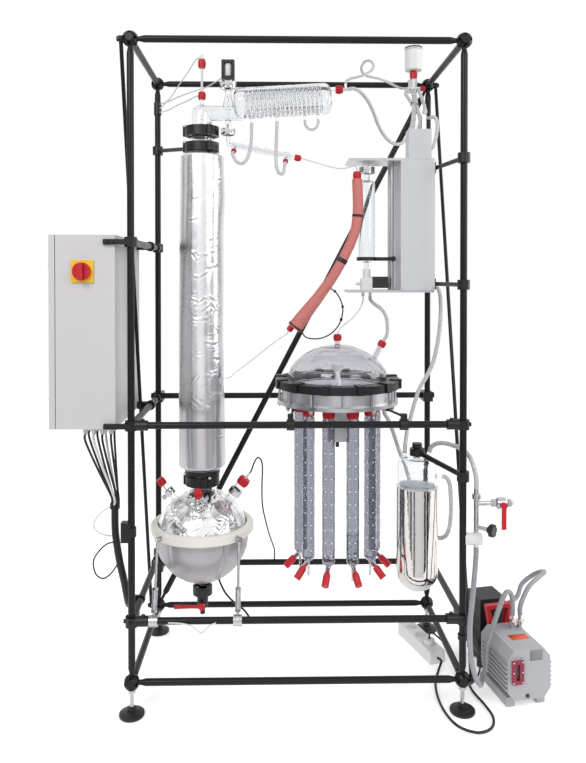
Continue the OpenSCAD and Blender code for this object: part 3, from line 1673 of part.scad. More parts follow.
module burette_sensor() {
  z = glass_z0 + sensor_rest;
  color(c_black)
    translate([0, 0, z])
      difference() {
        union() {
          translate([glass_x, glass_y, 0])
            cylinder(r = burette_r + 6, h = sensor_h);
          box([glass_x, glass_y - 9, 0], [rail_x + rail_r + 5, glass_y + 9, sensor_h]);
          translate([rail_x, glass_y - 8, sensor_h / 2])
            rotate([90, 0, 0])
              cylinder(r = 5, h = 12);
          translate([rail_x, glass_y - 20, sensor_h / 2])
            rotate([90, 0, 0])
              cylinder(r = 9, h = 8);
        }
        translate([glass_x, glass_y, -1])
          cylinder(r = burette_r + 0.4, h = sensor_h + 2);
        translate([rail_x, rail_y, -1])
          cylinder(r = rail_r + run_fit, h = sensor_h + 2);
      }
}

module burette_valve() {
  color(c_white) {
    translate([glass_x, glass_y, 0])
      difference() {
        union() {
          translate([0, 0, bur_z0 + 38])
            cylinder(r = 13, h = glass_z0 - 22 - bur_z0 - 38);
          box([-19, -19, bur_z0], [19, 19, bur_z0 + 38]);
          translate([-19, 0, bur_z0 + 20])
            rotate([0, -90, 0])
              cylinder(r = nipple_r, h = 16);
        }
        translate([0, 0, bur_z0 + 10])
          cylinder(r = 4, h = 100);
      }
    box([glass_x + 19 + seam, glass_y - 20, bur_z0 + 6], [glass_x + 70, glass_y + 20, bur_z0 + 44]);
    for (x = outlet_xs)
      translate([glass_x + x, glass_y, bur_z0 - plate_t - seam - 14])
        cylinder(r = nipple_r, h = 14);
  }
}

module pressure_sensor() {
  color(c_white)
    translate([frame_w - 60, frame_d - 30, 0]) {
      difference() {
        union() {
          translate([0, 0, top_z - 45])
            cylinder(r = 8, h = 60);
          translate([0, 0, top_z - 20])
            rotate([0, 90, 0])
              cylinder(r = 6, h = 24);
          translate([0, 0, top_z - 20])
            rotate([0, -90, 0])
              cylinder(r = nipple_r, h = 24);
        }
        translate([0, 0, top_z - 40])
          cylinder(r = 5, h = 50);
      }
      translate([0, 0, top_z + 44])
        round_can(31.5, 76, 5);
      translate([0, 0, top_z + 120 + seam])
        cylinder(r = 32.5, h = 9);
      // Bracket on the rear top rail
      difference() {
        box([-16, -14, top_z - 32], [16, 30, top_z - 22]);
        translate([0, 0, top_z - 40])
          cylinder(r = 8 + clear, h = 30);
      }
      translate([0, 30, top_z])
        difference() {
          box([-16, -tube_r - 6, -tube_r - 12], [16, tube_r + 6, tube_r + 6]);
          rotate([0, 90, 0])
            cylinder(r = tube_r + clear, h = 60, center = true);
          box([-17, -60, -60], [17, 0.1, -22]);
        }
    }
}

// Collector

module dome_neck_place() {
  translate([118, 0, dome_z + 12 + dome_side + 28])
    rotate([0, 28, 0])
      children();
}

module collector_dome() {
  top = dome_side + dome_arch + 12;
  color(c_glass)
    at_collector(0)
      difference() {
        union() {
          translate([0, 0, dome_z])
            cylinder(r = dome_flange_r, h = 12);
          translate([0, 0, dome_z + 12 - 40])
            intersection() {
              dome_raw(0);
              translate([0, 0, 30])
                cylinder(r = 2 * dome_r, h = 400);
            }
          translate([0, 0, dome_z + top - 14])
            cylinder(r = 10, h = 14 + dome_neck_l);
          dome_neck_place()
            translate([0, 0, -6])
              cylinder(r = 10, h = 60);
        }
        translate([0, 0, dome_z + 12 - 40])
          dome_raw(dome_wall);
        translate([0, 0, dome_z - 1])
          cylinder(r = dome_r - dome_wall, h = 14);
        translate([0, 0, dome_z + top - 40])
          cylinder(r = 7, h = 100);
        dome_neck_place()
          translate([0, 0, -30])
            cylinder(r = 7, h = 100);
      }
}

// Solid dome standing on Z = 0, its straight side starting 40 higher.
module dome_raw(w) {
  round = 40 - w;
  height = 40 + dome_side + dome_arch - w;
  arch_r = 200 - w;
  core = dome_r - w - round;
  rotate_extrude()
    intersection() {
      offset(r = round)
        intersection() {
          translate([-core, -60])
            square([2 * core, height + 60]);
          translate([0, height - arch_r])
            circle(r = arch_r - round);
        }
      square([2 * dome_r, height + 1]);
    }
}

module collector_clamp_ring() {
  seat = dome_z + 12 + part_gap;
  blocks = 12;
  color(c_clamp)
    at_collector(0)
      difference() {
        union() {
          translate([0, 0, dome_z + 2])
            cylinder(r = dome_r + 43, h = clamp_ring_h);
          for (i = [0:blocks - 1])
            rotate([0, 0, 360 * (i + 0.5) / blocks])
              box([dome_r + 10, -11, dome_z + 2],
                [dome_r + 49, 11, dome_z + clamp_ring_h + 6]);
        }
        translate([0, 0, dome_z])
          cylinder(r = dome_flange_r + part_gap, h = seat - dome_z);
        translate([0, 0, dome_z])
          cylinder(r = dome_r + 1, h = 60);
      }
}

module collector_base() {
  stud_r = 4;
  color(c_steel)
    at_collector(0) {
      difference() {
        translate([0, 0, base_z])
          cylinder(r = base_r, h = base_t);
        for (a = receiver_ports)
          rotate([0, 0, a])
            translate([0, -receiver_circle, base_z - 1])
              cylinder(r = port_r - 3, h = base_t + 2);
        translate([0, 0, base_z - 1])
          cylinder(r = 8 + run_fit, h = base_t + 2);
        for (i = [0:11])
          rotate([0, 0, 30 * i])
            translate([dome_r + 30, 0, base_z - 1])
              cylinder(r = stud_r + clear, h = base_t + 2);
      }
      translate([0, 0, ring_z + seam])
        ring(dome_r + 23, dome_r - 12, spacer_h - seam);
      for (i = [0:11])
        rotate([0, 0, 30 * i])
          translate([dome_r + 30, 0, base_z - 14]) {
            cylinder(r = stud_r, h = dome_z + 2 - base_z + 14);
            translate([0, 0, 6])
              difference() {
                cylinder(r = 8, h = 8, $fn = 6);
                translate([0, 0, -1])
                  cylinder(r = stud_r + clear, h = 10);
              }
          }
      translate([vacuum_port[0], vacuum_port[1], base_z - 20])
        cylinder(r = 6, h = 20);
    }
}

// Bar ring below the plate, with a block up to the plate's underside.
module distributor() {
  color(c_white)
    at_collector(0) {
      translate([0, 0, base_z - 16])
        cylinder(r = 8, h = 136);
      translate([0, 0, base_z + 96])
        cylinder(r1 = 10, r2 = 22, h = 26);
      along([0, 0, base_z + 104], [0, -receiver_circle + 4, ring_z + 14])
        cylinder(r = 7, h = 148);
    }
}

module distributor_motor() {
  color(c_grey)
    at_collector(0) {
      difference() {
        union() {
          box([-32, -24, base_z - 131], [32, 24, base_z]);
          translate([0, 0, base_z - 152])
            cylinder(r = 6, h = 22);
        }
        translate([0, 0, base_z - 20])
          cylinder(r = 8 + run_fit, h = 30);
      }
    }
}

// Place on the circle of receivers, with -Y pointing out.
module at_receiver(i) {
  at_collector(0)
    rotate([0, 0, receiver_ports[i]])
      translate([0, -receiver_circle, 0])
        children();
}

module at_tap(i) {
  at_receiver(i)
    translate([0, 0, receiver_bottom - receiver_r + 3])
      rotate([knob_tilt, 0, 0])
        children();
}

module receiver_tubes() {
  color(c_glass)
    for (i = [0:5])
      difference() {
        union() {
          at_receiver(i) {
            translate([0, 0, receiver_bottom])
              cylinder(r = receiver_r, h = receiver_len - 14);
            translate([0, 0, receiver_bottom])
              sphere(r = receiver_r);
            translate([0, 0, receiver_top - 14])
              cylinder(r1 = receiver_r, r2 = port_r, h = 6);
            translate([0, 0, receiver_top - 9])
              cylinder(r = port_r, h = base_z - receiver_top + 9);
            translate([0, 0, receiver_bottom - receiver_r - 46])
              cylinder(r = 4, h = 50);
          }
          at_tap(i)
            cylinder(r = 8, h = knob_start - 1);
        }
        at_receiver(i) {
          translate([0, 0, receiver_bottom])
            cylinder(r = receiver_r - 2, h = receiver_len - 18);
          translate([0, 0, receiver_bottom])
            sphere(r = receiver_r - 2);
          translate([0, 0, receiver_top - 20])
            cylinder(r = port_r - 3, h = 80);
        }
        at_tap(i)
          translate([0, 0, 8])
            cylinder(r = 4 + run_fit, h = 60);
      }
}

module receiver_tap(i) {
  color(c_red)
    at_tap(i) {
      translate([0, 0, 10])
        cylinder(r = 4, h = knob_start);
      translate([0, 0, knob_start])
        cylinder(r1 = knob_r - 2, r2 = knob_r, h = 8);
      translate([0, 0, knob_start + 8])
        cylinder(r = knob_r, h = knob_l - 8);
    }
}

module receiver_tap_1() { receiver_tap(0); }
module receiver_tap_2() { receiver_tap(1); }
module receiver_tap_3() { receiver_tap(2); }
module receiver_tap_4() { receiver_tap(3); }
module receiver_tap_5() { receiver_tap(4); }
module receiver_tap_6() { receiver_tap(5); }

// Cold trap

module cold_trap() {
  color(c_steel)
    translate([trap_x, trap_y, trap_z0])
      difference() {
        union() {
          translate([0, 0, trap_r])
            cylinder(r = trap_r, h = trap_len - trap_r);
          translate([0, 0, trap_r])
            sphere(r = trap_r);
        }
        translate([0, 0, trap_r])
          cylinder(r = trap_r - 9, h = trap_len);
        translate([0, 0, trap_r])
          sphere(r = trap_r - 9);
      }
}

module trap_head() {
  in_r = trap_r - 9.5;
  color(c_glass)
    translate([trap_x, trap_y, trap_z1])
      difference() {
        union() {
          round_can(trap_r - 2, 92, 22);
          translate([0, 0, 80])
            cylinder(r = trap_neck_r, h = trap_neck_top - 80);
          translate([0, 0, -150])
            cylinder(r = in_r, h = 160);
          for (s = [-1, 1])
            translate([s * 36, 0, 70])
              rotate([0, s * trap_nipple_tilt, 0])
                cylinder(r = 7.5, h = trap_nipple_l);
          translate([0, 0, trap_side_z])
            rotate([0, 90, 0])
              cylinder(r = 7, h = trap_r + 14);
        }
        translate([0, 0, 3])
          round_can(trap_r - 5, 86, 19);
        translate([0, 0, -147])
          cylinder(r = in_r - 3, h = 160);
        translate([0, 0, 70])
          cylinder(r = 9, h = trap_neck_top);
      }
}

// Vacuum pipe

module vacuum_pipe() {
  color(c_steel)
    translate([pipe_x, pipe_y, 0])
      difference() {
        union() {
          translate([0, 0, 500])
            cylinder(r = 8, h = 178);
          for (z = [648, 528])
            translate([0, 0, z])
              cylinder(r = 13, h = 14);
          translate([0, 0, valve_z])
            rotate([0, 90, 0])
              cylinder(r = 7, h = 112);
          translate([59, 0, valve_z])
            rotate([0, 90, 0])
              round_can(17, 34, 8);
          for (x = [46, 95])
            translate([x, 0, valve_z])
              rotate([0, 90, 0])
                cylinder(r = 13, h = 10, $fn = 6);
          translate([76, 0, valve_z])
            rotate([90, 0, 0])
              cylinder(r = 8, h = 22);
          // Bleed valve branch towards the front right
          along([0, 0, bleed_z], [34, -30, bleed_z])
            cylinder(r = 6.5, h = 36);
          // Holder to the post
          translate([15, 0, 526])
            rotate([0, -90, 0])
              cylinder(r = 18, h = pipe_x - frame_w - tube_r + 20);
        }
        translate([76, -24, valve_z])
          rotate([-90, 0, 0])
            cylinder(r = lever_pin_r + run_fit, h = 14);
        along([0, 0, bleed_z], [34, -30, bleed_z])
          translate([0, 0, 20])
            cylinder(r = 3 + run_fit, h = 30);
        translate([frame_w - pipe_x, -pipe_y, 480])
          cylinder(r = tube_r + clear, h = 90);
      }
}

module vacuum_valve_lever() {
  color(c_red)
    translate([pipe_x + 76, pipe_y - 22 - part_gap, valve_z]) {
      rotate([90, 0, 0])
        cylinder(r = 10, h = 7);
      translate([0, 11, 0])
        rotate([90, 0, 0])
          cylinder(r = lever_pin_r, h = 12);
      box([-7, -6, -72], [7, -1.5, 0]);
    }
}

module bleed_valve_knob() {
  color(c_black)
    along([pipe_x, pipe_y, bleed_z], [pipe_x + 34, pipe_y - 30, bleed_z]) {
      translate([0, 0, 22])
        cylinder(r = 3, h = 16);
      translate([0, 0, 36 + part_gap])
        cylinder(r = 9, h = 8);
      translate([0, 0, 44])
        difference() {
          cylinder(r = 19, h = 14);
          for (a = [0:60:300])
            rotate([0, 0, a])
              translate([22, 0, -1])
                cylinder(r = 6, h = 16);
        }
    }
}

// Pump

// Pump place, with local -Y towards the sight glass.
module at_pump() {
  translate([pump_mid_x, pump_y0, 0])
    rotate([0, 0, pump_turn])
      children();
}

module pump_body() {
  ribs = 6;
  half = pump_w / 2;
  top = pump_feet + pump_h;
  color(c_grey)
    at_pump() {
      // Oil case with sloping shoulders
      translate([0, pump_case_l, 0])
        rotate([90, 0, 0])
          linear_extrude(height = pump_case_l)
            polygon([[-half + 20, pump_feet], [half - 20, pump_feet], [half, pump_feet + 27],
                [half, top - 24], [half - 20, top], [-half + 20, top], [-half, top - 24],
                [-half, pump_feet + 27]]);
      for (i = [0:ribs - 1])
        box([-half - 6, 3, pump_feet + 32 + 14 * i],
          [half + 6, pump_case_l - 12, pump_feet + 37 + 14 * i]);
      // Bearing housing towards the motor
      translate([0, pump_case_l - 1, motor_z])
        rotate([-90, 0, 0])
          cylinder(r = bearing_r, h = bearing_l + 1);
      for (x = pump_ports)
        translate([x, pump_port_y, top - 2]) {
          translate([0, 0, -26])
            cylinder(r = 9, h = 46);
          translate([0, 0, 14])
            cylinder(r = 14, h = 10);
          translate([0, 0, 22])
            cylinder(r = nipple_r + 2, h = 20);
        }
      // Frame of the sight glass
      translate([-half + 9, -5, pump_feet + 54])
        difference() {
          cube([40, 6, 74]);
          translate([8, -1, 10])
            cube([24, 5, 54]);
        }
      // Base rails
      for (s = [-1, 1])
        translate([s * (half - 20), 0, 0])
          box([-14, 20, 0], [14, pump_case_l - 10, pump_feet + 1]);
    }
}

module pump_motor() {
  color(c_black)
    at_pump()
      translate([0, motor_y, 0]) {
        translate([0, 0, motor_z])
          rotate([-90, 0, 0])
            round_can(motor_r, motor_l, 10);
        box([-46, 12, motor_z + 40], [46, 104, motor_box_top]);
        box([-46, 24, pump_feet - 2], [46, 110, pump_feet + 22]);
        for (s = [-1, 1], y = [34, 100])
          translate([s * 34, y, 0])
            cylinder(r = 12, h = pump_feet - 2);
        translate([0, 103, motor_box_top - 20])
          rotate([-90, 0, 0])
            cylinder(r = nipple_r + 2, h = 16);
        translate([45, pump_barb_y, pump_barb_z])
          rotate([0, 90, 0])
            cylinder(r = nipple_r + 1, h = 15);
      }
}

module pump_handle() {
  low = motor_z + 30;
  color(c_red)
    at_pump()
      difference() {
        translate([0, pump_case_l + bearing_l / 2 + 9, 0])
          rotate([90, 0, 0])
            linear_extrude(height = 18)
              difference() {
                polygon([[-26, low], [26, low], [46, handle_top], [-46, handle_top]]);
                polygon([[-12, motor_z + bearing_r + 10], [12, motor_z + bearing_r + 10],
                    [32, handle_top - 12], [-32, handle_top - 12]]);
              }
        translate([0, pump_case_l - 20, motor_z])
          rotate([-90, 0, 0])
            cylinder(r = bearing_r + seam, h = bearing_l + 40);
      }
}

module power_strip() {
  color(c_white)
    translate(strip_at)
      rotate([0, 0, strip_turn])
        difference() {
          translate([0, -28, 0])
            cube([strip_l, 56, 42]);
          for (i = [0:2])
            translate([46 + 62 * i, 0, 28])
              cylinder(r = 19.5, h = 20);
        }
  color(c_black)
    translate(strip_at)
      rotate([0, 0, strip_turn])
        translate([170, 0, 28 + seam])
          cylinder(r = 18.5, h = 30);
}

// Cords

function knot(a, b, c, d, t) =
  0.5 * (2 * b + (c - a) * t + (2 * a - 5 * b + 4 * c - d) * t * t
     + (3 * b - a - 3 * c + d) * t * t * t);
function smooth(p, n) =
  let (m = len(p) - 1)
  concat([for (i = [0:m - 1], k = [0:n - 1])
        knot(p[max(i - 1, 0)], p[i], p[i + 1], p[min(i + 2, m)], k / n)], [p[m]]);
function side_of(p) = abs(unit(p[1] - p[0])[2]) > 0.8 ? [1, 0, 0] : [0, 0, 1];

module cord(p, r, n) {
  swept_tube(smooth(p, n), is_list(r) ? smooth(r, n) : r, 8, side_of(p));
}

module hoses() {
  color(c_hose)
    for (h = hose_list)
      cord(h[0], h[1], 2);
}

module cables() {
  color(c_black)
    for (c = cable_list)
      cord(c[0], c[1], 2);
}

module thin_lines() {
  color(c_white)
    for (p = line_list)
      cord(p, line_r, 2);
}

module insulated_line() {
  color(c_pink)
    cord(wrap_path, wrap_r, 2);
}

frame_tubes();
frame_hubs();
bar_clamps();
levelling_feet();
cabinet_body();
cabinet_door();
cabinet_internals();
cable_glands();
main_switch_plate();
main_switch_handle();
flask();
flask_cover();
mantle_ring();
heating_mantle();
vessel_legs();
drain_valve_body();
drain_valve_lever();
column_tube();
column_packing();
column_jacket();
flange_clamps();
condenser_head();
condenser_coil();
reflux_magnet();
reflux_valve_rod();
steel_clamps();
product_cooler();
temperature_probes();
screw_caps();
burette_housing();
burette_frame();
burette_cylinder();
burette_sensor();
burette_valve();
pressure_sensor();
collector_dome();
collector_clamp_ring();
collector_base();
distributor();
distributor_motor();
receiver_tubes();
cold_trap();
trap_head();
vacuum_pipe();
vacuum_valve_lever();
bleed_valve_knob();
pump_body();
pump_motor();
pump_handle();
power_strip();
receiver_tap_1();
receiver_tap_2();
receiver_tap_3();
receiver_tap_4();
receiver_tap_5();
receiver_tap_6();
hoses();
cables();
thin_lines();
insulated_line();
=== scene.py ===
import json
import math

import bmesh
import bpy
import numpy as np
from mathutils import Matrix, Vector, noise


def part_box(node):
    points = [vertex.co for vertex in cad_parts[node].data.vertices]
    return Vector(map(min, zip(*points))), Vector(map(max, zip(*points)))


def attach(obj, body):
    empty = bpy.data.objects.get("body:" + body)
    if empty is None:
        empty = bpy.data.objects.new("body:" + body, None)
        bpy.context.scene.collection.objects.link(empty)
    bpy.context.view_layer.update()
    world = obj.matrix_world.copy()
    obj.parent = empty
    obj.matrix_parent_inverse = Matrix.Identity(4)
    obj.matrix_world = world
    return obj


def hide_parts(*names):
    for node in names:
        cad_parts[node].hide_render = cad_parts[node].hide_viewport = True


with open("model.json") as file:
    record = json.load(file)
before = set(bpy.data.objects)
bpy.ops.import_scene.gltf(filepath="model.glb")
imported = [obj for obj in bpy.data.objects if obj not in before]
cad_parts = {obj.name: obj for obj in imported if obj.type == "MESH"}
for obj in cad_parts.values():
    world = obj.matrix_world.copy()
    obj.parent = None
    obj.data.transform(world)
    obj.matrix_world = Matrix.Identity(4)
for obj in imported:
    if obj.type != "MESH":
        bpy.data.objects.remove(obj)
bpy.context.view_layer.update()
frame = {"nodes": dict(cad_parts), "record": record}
nodes = frame["nodes"]
print("frame loaded:", len(nodes), "nodes")

mm = 0.001

# Camera fitted to the photograph: pixels, millimetres of sensor, metres and degrees
view = {
    "size": (586, 763), "centre": (286.04, 283.65), "focal": 706.84, "sensor": 36,
    "at": (0.42704, -2.12173, 1.32586), "down": 0.689, "right": 1.009, "clip": (0.05, 60),
}


def addObject(name, data):
    obj = bpy.data.objects.new(name, data)
    bpy.context.scene.collection.objects.link(obj)
    return obj


def makeCamera():
    wide, tall = view["size"]
    data = bpy.data.cameras.new("camera")
    data.sensor_width = view["sensor"]
    data.lens = view["focal"] * view["sensor"] / tall
    data.shift_x = (wide / 2 - view["centre"][0]) / tall
    data.shift_y = (view["centre"][1] - tall / 2) / tall
    data.clip_start, data.clip_end = view["clip"]
    camera = addObject("camera", data)
    camera.location = view["at"]
    camera.rotation_euler = (math.radians(90 - view["down"]), 0, math.radians(-view["right"]))
    bpy.context.scene.camera = camera


makeCamera()


# Materials

# Detail of the two noises, spread of the gloss, reach of the bump in metres
grainLook = {"broad": 5, "fine": 2, "spread": 0.25, "reach": 0.002}
grainInputs = (
    ("Colour", "NodeSocketColor", (0.8, 0.8, 0.8, 1)),
    ("Vary", "NodeSocketFloat", 0.1),
    ("Scale", "NodeSocketFloat", 40.0),
    ("Gloss", "NodeSocketFloat", 0.4),
    ("Fine", "NodeSocketFloat", 600.0),
    ("Depth", "NodeSocketFloat", 0.05),
)
# Refraction, detail and reach of the ripple, tint of the light that passes
glassLook = {"ior": 1.45, "detail": 1, "reach": 0.004, "shade": (0.88, 0.88, 0.89, 1)}


def link(tree, a, b):
    tree.links.new(a, b)


def shaderNodes(tree, *kinds):
    return [tree.nodes.new("ShaderNode" + kind) for kind in kinds]


def setInputs(node, values):
    for key, value in values.items():
        node.inputs[key.replace("_", " ")].default_value = value


def mathNode(tree, kind, *values, clamp=False):
    node = tree.nodes.new("ShaderNodeMath")
    node.operation = kind
    node.use_clamp = clamp
    for socket, value in zip(node.inputs, values):
        if isinstance(value, (int, float)):
            socket.default_value = value
        else:
            link(tree, value, socket)
    return node.outputs[0]


def grainGroup():
    # Uneven colour, gloss and a fine bump from two noises
    tree = bpy.data.node_groups.new("grain", "ShaderNodeTree")
    face = tree.interface
    for name, kind, value in grainInputs:
        face.new_socket(name, in_out="INPUT", socket_type=kind).default_value = value
    for name, kind in (("Colour", "Color"), ("Gloss", "Float"), ("Normal", "Vector")):
        face.new_socket(name, in_out="OUTPUT", socket_type="NodeSocket" + kind)
    given, out = tree.nodes.new("NodeGroupInput"), tree.nodes.new("NodeGroupOutput")
    where, broad, fine, tint, bump = shaderNodes(
        tree, "TexCoord", "TexNoise", "TexNoise", "VectorMath", "Bump")
    for speckle, detail, scale in ((broad, "broad", "Scale"), (fine, "fine", "Fine")):
        speckle.inputs["Detail"].default_value = grainLook[detail]
        link(tree, where.outputs["Object"], speckle.inputs["Vector"])
        link(tree, given.outputs[scale], speckle.inputs["Scale"])
    centre = mathNode(tree, "SUBTRACT", broad.outputs["Fac"], 0.5)
    share = mathNode(tree, "MULTIPLY_ADD", centre, given.outputs["Vary"], 1.0)
    tint.operation = "SCALE"
    link(tree, given.outputs["Colour"], tint.inputs[0])
    link(tree, share, tint.inputs["Scale"])
    link(tree, tint.outputs[0], out.inputs["Colour"])
    gloss = mathNode(tree, "MULTIPLY_ADD", centre, grainLook["spread"], given.outputs["Gloss"],
                     clamp=True)
    link(tree, gloss, out.inputs["Gloss"])
    bump.inputs["Distance"].default_value = grainLook["reach"]
    link(tree, given.outputs["Depth"], bump.inputs["Strength"])
    link(tree, fine.outputs["Fac"], bump.inputs["Height"])
    link(tree, bump.outputs["Normal"], out.inputs["Normal"])
    return tree


grain = grainGroup()


def newMaterial(name):
    material = bpy.data.materials.new(name)
    material.use_nodes = True
    return material, material.node_tree, material.node_tree.nodes["Principled BSDF"]


def finish(name, colour, gloss, vary, scale, fine, depth, **shader):
    material, tree, main = newMaterial(name)
    group = tree.nodes.new("ShaderNodeGroup")
    group.node_tree = grain
    setInputs(group, {"Colour": (*colour, 1), "Vary": vary, "Scale": scale, "Gloss": gloss,
                      "Fine": fine, "Depth": depth})
    for output, socket in (("Colour", "Base Color"), ("Gloss", "Roughness"), ("Normal", "Normal")):
        link(tree, group.outputs[output], main.inputs[socket])
    setInputs(main, shader)
    material.diffuse_color = (*colour, 1)
    return material


def glassFinish(name, colour, gloss=0.02, wave=14, lift=0.08, **shader):
    material, tree, main = newMaterial(name)
    setInputs(main, {"Base Color": (*colour, 1), "Roughness": gloss, "Transmission Weight": 1,
                     "IOR": glassLook["ior"]})
    where, ripple, bump = shaderNodes(tree, "TexCoord", "TexNoise", "Bump")
    setInputs(ripple, {"Scale": wave, "Detail": glassLook["detail"]})
    setInputs(bump, {"Strength": lift, "Distance": glassLook["reach"]})
    link(tree, where.outputs["Object"], ripple.inputs["Vector"])
    link(tree, ripple.outputs["Fac"], bump.inputs["Height"])
    link(tree, bump.outputs["Normal"], main.inputs["Normal"])
    setInputs(main, shader)
    # Glass lets light through to what stands inside it
    clear, path, both = shaderNodes(tree, "BsdfTransparent", "LightPath", "MixShader")
    clear.inputs["Color"].default_value = glassLook["shade"]
    link(tree, path.outputs["Is Shadow Ray"], both.inputs[0])
    link(tree, main.outputs[0], both.inputs[1])
    link(tree, clear.outputs[0], both.inputs[2])
    link(tree, both.outputs[0], tree.nodes["Material Output"].inputs["Surface"])
    return material


# Colour, gloss, unevenness and its scale, scale and depth of the fine bump
mats = {
    "frame": finish("framePaint", (0.0055, 0.0058, 0.0078), 0.33, 0.35, 18, 900, 0.03,
                    Specular_IOR_Level=0.27),
    "casting": finish("blackCasting", (0.006, 0.006, 0.007), 0.36, 0.4, 60, 700, 0.14,
                      Specular_IOR_Level=0.4),
    "blackPlastic": finish("blackPlastic", (0.011, 0.011, 0.012), 0.42, 0.3, 80, 900, 0.08,
                           Specular_IOR_Level=0.4),
    "cabinet": finish("cabinetPaint", (0.565, 0.555, 0.56), 0.45, 0.04, 9, 1400, 0.06),
    "module": finish("modulePlastic", (0.25, 0.255, 0.27), 0.5, 0.2, 40, 900, 0.05),
    "gland": finish("glandMetal", (0.55, 0.55, 0.54), 0.25, 0.15, 80, 800, 0.04, Metallic=1.0),
    "yellow": finish("switchYellow", (0.80, 0.50, 0.01), 0.4, 0.08, 50, 900, 0.04),
    "red": finish("signalRed", (0.50, 0.012, 0.022), 0.42, 0.2, 60, 900, 0.05,
                  Specular_IOR_Level=0.35),
    "foil": finish("foil", (0.80, 0.80, 0.815), 0.28, 0.14, 26, 240, 0.10, Metallic=1.0),
    # Painted light: a brighter copy of the foil for the flask's cover, standing in for its bright
    # reflections
    "litCoverFoil": finish("litCoverFoil", (0.93, 0.93, 0.94), 0.2, 0.1, 30, 240, 0.08, Metallic=1.0),
    "mantle": finish("mantleFoil", (0.41, 0.395, 0.415), 0.36, 0.16, 16, 420, 0.16, Metallic=0.9),
    "cream": finish("creamRing", (0.74, 0.725, 0.67), 0.45, 0.08, 24, 500, 0.05),
    "steel": finish("steel", (0.52, 0.525, 0.54), 0.24, 0.14, 70, 900, 0.06, Metallic=1.0),
    "bright": finish("brightSteel", (0.62, 0.62, 0.63), 0.14, 0.12, 90, 700, 0.03, Metallic=1.0),
    "white": finish("whitePlastic", (0.70, 0.70, 0.69), 0.45, 0.05, 40, 900, 0.04),
    "housing": finish("housingPaint", (0.55, 0.56, 0.58), 0.4, 0.04, 12, 1300, 0.05),
    "plate": finish("plateMetal", (0.52, 0.525, 0.54), 0.32, 0.1, 40, 900, 0.06, Metallic=1.0),
    "mirror": finish("mirrorGlass", (0.62, 0.595, 0.585), 0.05, 0.2, 12, 26, 0.35, Metallic=1.0),
    "pump": finish("pumpPaint", (0.36, 0.365, 0.385), 0.42, 0.06, 30, 900, 0.07),
    "motor": finish("motorPaint", (0.010, 0.010, 0.012), 0.45, 0.3, 50, 700, 0.1,
                    Specular_IOR_Level=0.4),
    "hose": finish("hoseSilicone", (0.60, 0.605, 0.62), 0.25, 0.1, 40, 500, 0.03,
                   Transmission_Weight=0.3),
    "cable": finish("cableRubber", (0.009, 0.009, 0.010), 0.42, 0.3, 60, 900, 0.05,
                    Specular_IOR_Level=0.4),
    "line": finish("lineWhite", (0.62, 0.62, 0.61), 0.4, 0.08, 60, 900, 0.03),
    "pink": finish("pinkFoam", (0.53, 0.165, 0.145), 0.65, 0.18, 40, 700, 0.16),
    "glass": glassFinish("clearGlass", (0.925, 0.94, 0.955)),
    "liquid": glassFinish("clearLiquid", (0.80, 0.84, 0.86), 0.02, IOR=1.03),
    # Painted light: a paler copy of the clear glass for the condenser and cooler, which the coil's
    # refraction darkens
    "paintedLightGlass": glassFinish("paintedLightGlass", (0.93, 0.935, 0.945), 0.02, 40, 0.2),
    # Painted shade: a darker, bluer copy of the clear glass for the collector dome
    "shadedDomeGlass": glassFinish("shadedDomeGlass", (0.74, 0.745, 0.78), 0.03, 22, 0.2),
    # Painted shade: a darker copy of the clear glass for the receiver tubes, making up for the
    # plain white that glass sees
    "shadedTubeGlass": glassFinish("shadedTubeGlass", (0.52, 0.525, 0.575), 0.04, 60, 0.5),
    "hoseGrey": finish("hoseGrey", (0.30, 0.303, 0.325), 0.3, 0.12, 40, 500, 0.03,
                       Transmission_Weight=0.1),
    "mark": finish("markWhite", (0.85, 0.85, 0.85), 0.5, 0.03, 60, 900, 0.02),
    "bezel": finish("bezelRed", (0.22, 0.006, 0.03), 0.35, 0.15, 60, 900, 0.04),
    "sticker": finish("orangeLabel", (0.66, 0.085, 0.03), 0.5, 0.06, 60, 900, 0.03),
    "dark": finish("darkGrey", (0.03, 0.03, 0.033), 0.3, 0.2, 60, 900, 0.04),
    "panel": finish("greyPanel", (0.20, 0.205, 0.215), 0.45, 0.1, 60, 900, 0.05),
}
# The record's slots and the finish that each shows
finishOf = {
    "frame_paint": "frame", "black_casting": "casting", "black_plastic": "blackPlastic",
    "cabinet_paint": "cabinet", "module_plastic": "module", "gland_metal": "gland",
    "switch_yellow": "yellow", "signal_red": "red", "foil": "foil", "mantle_fabric": "mantle",
    "cream_ring": "cream", "steel": "steel", "bright_steel": "bright", "white_plastic": "white",
    "housing_paint": "housing", "plate_metal": "plate", "mirror_glass": "mirror",
    "pump_grey": "pump", "pump_black": "motor", "hose_silicone": "hose", "cable_rubber": "cable",
    "line_white": "line", "line_pink": "pink", "clear_glass": "glass",
}
slotOf = {key: slot for slot, key in finishOf.items()}
slotOf.update({
    "liquid": "clear_glass", "mark": "white_plastic", "hoseGrey": "hose_silicone",
    "bezel": "signal_red", "sticker": "signal_red", "dark": "black_plastic",
    "panel": "module_plastic", "litCoverFoil": "foil",
})
finishOf["mesh"] = "steel"
# Glass nodes with a lighter or darker copy of the clear glass within their slot, as painted light
# and shade
nodeFinish = {
    "receiver_tubes": "shadedTubeGlass", "collector_dome": "shadedDomeGlass", "condenser_head": "paintedLightGlass",
    "condenser_coil": "paintedLightGlass", "product_cooler": "paintedLightGlass",
}


def objectAxes(tree):
    where, split = shaderNodes(tree, "TexCoord", "SeparateXYZ")
    link(tree, where.outputs["Object"], split.inputs[0])
    return split.outputs


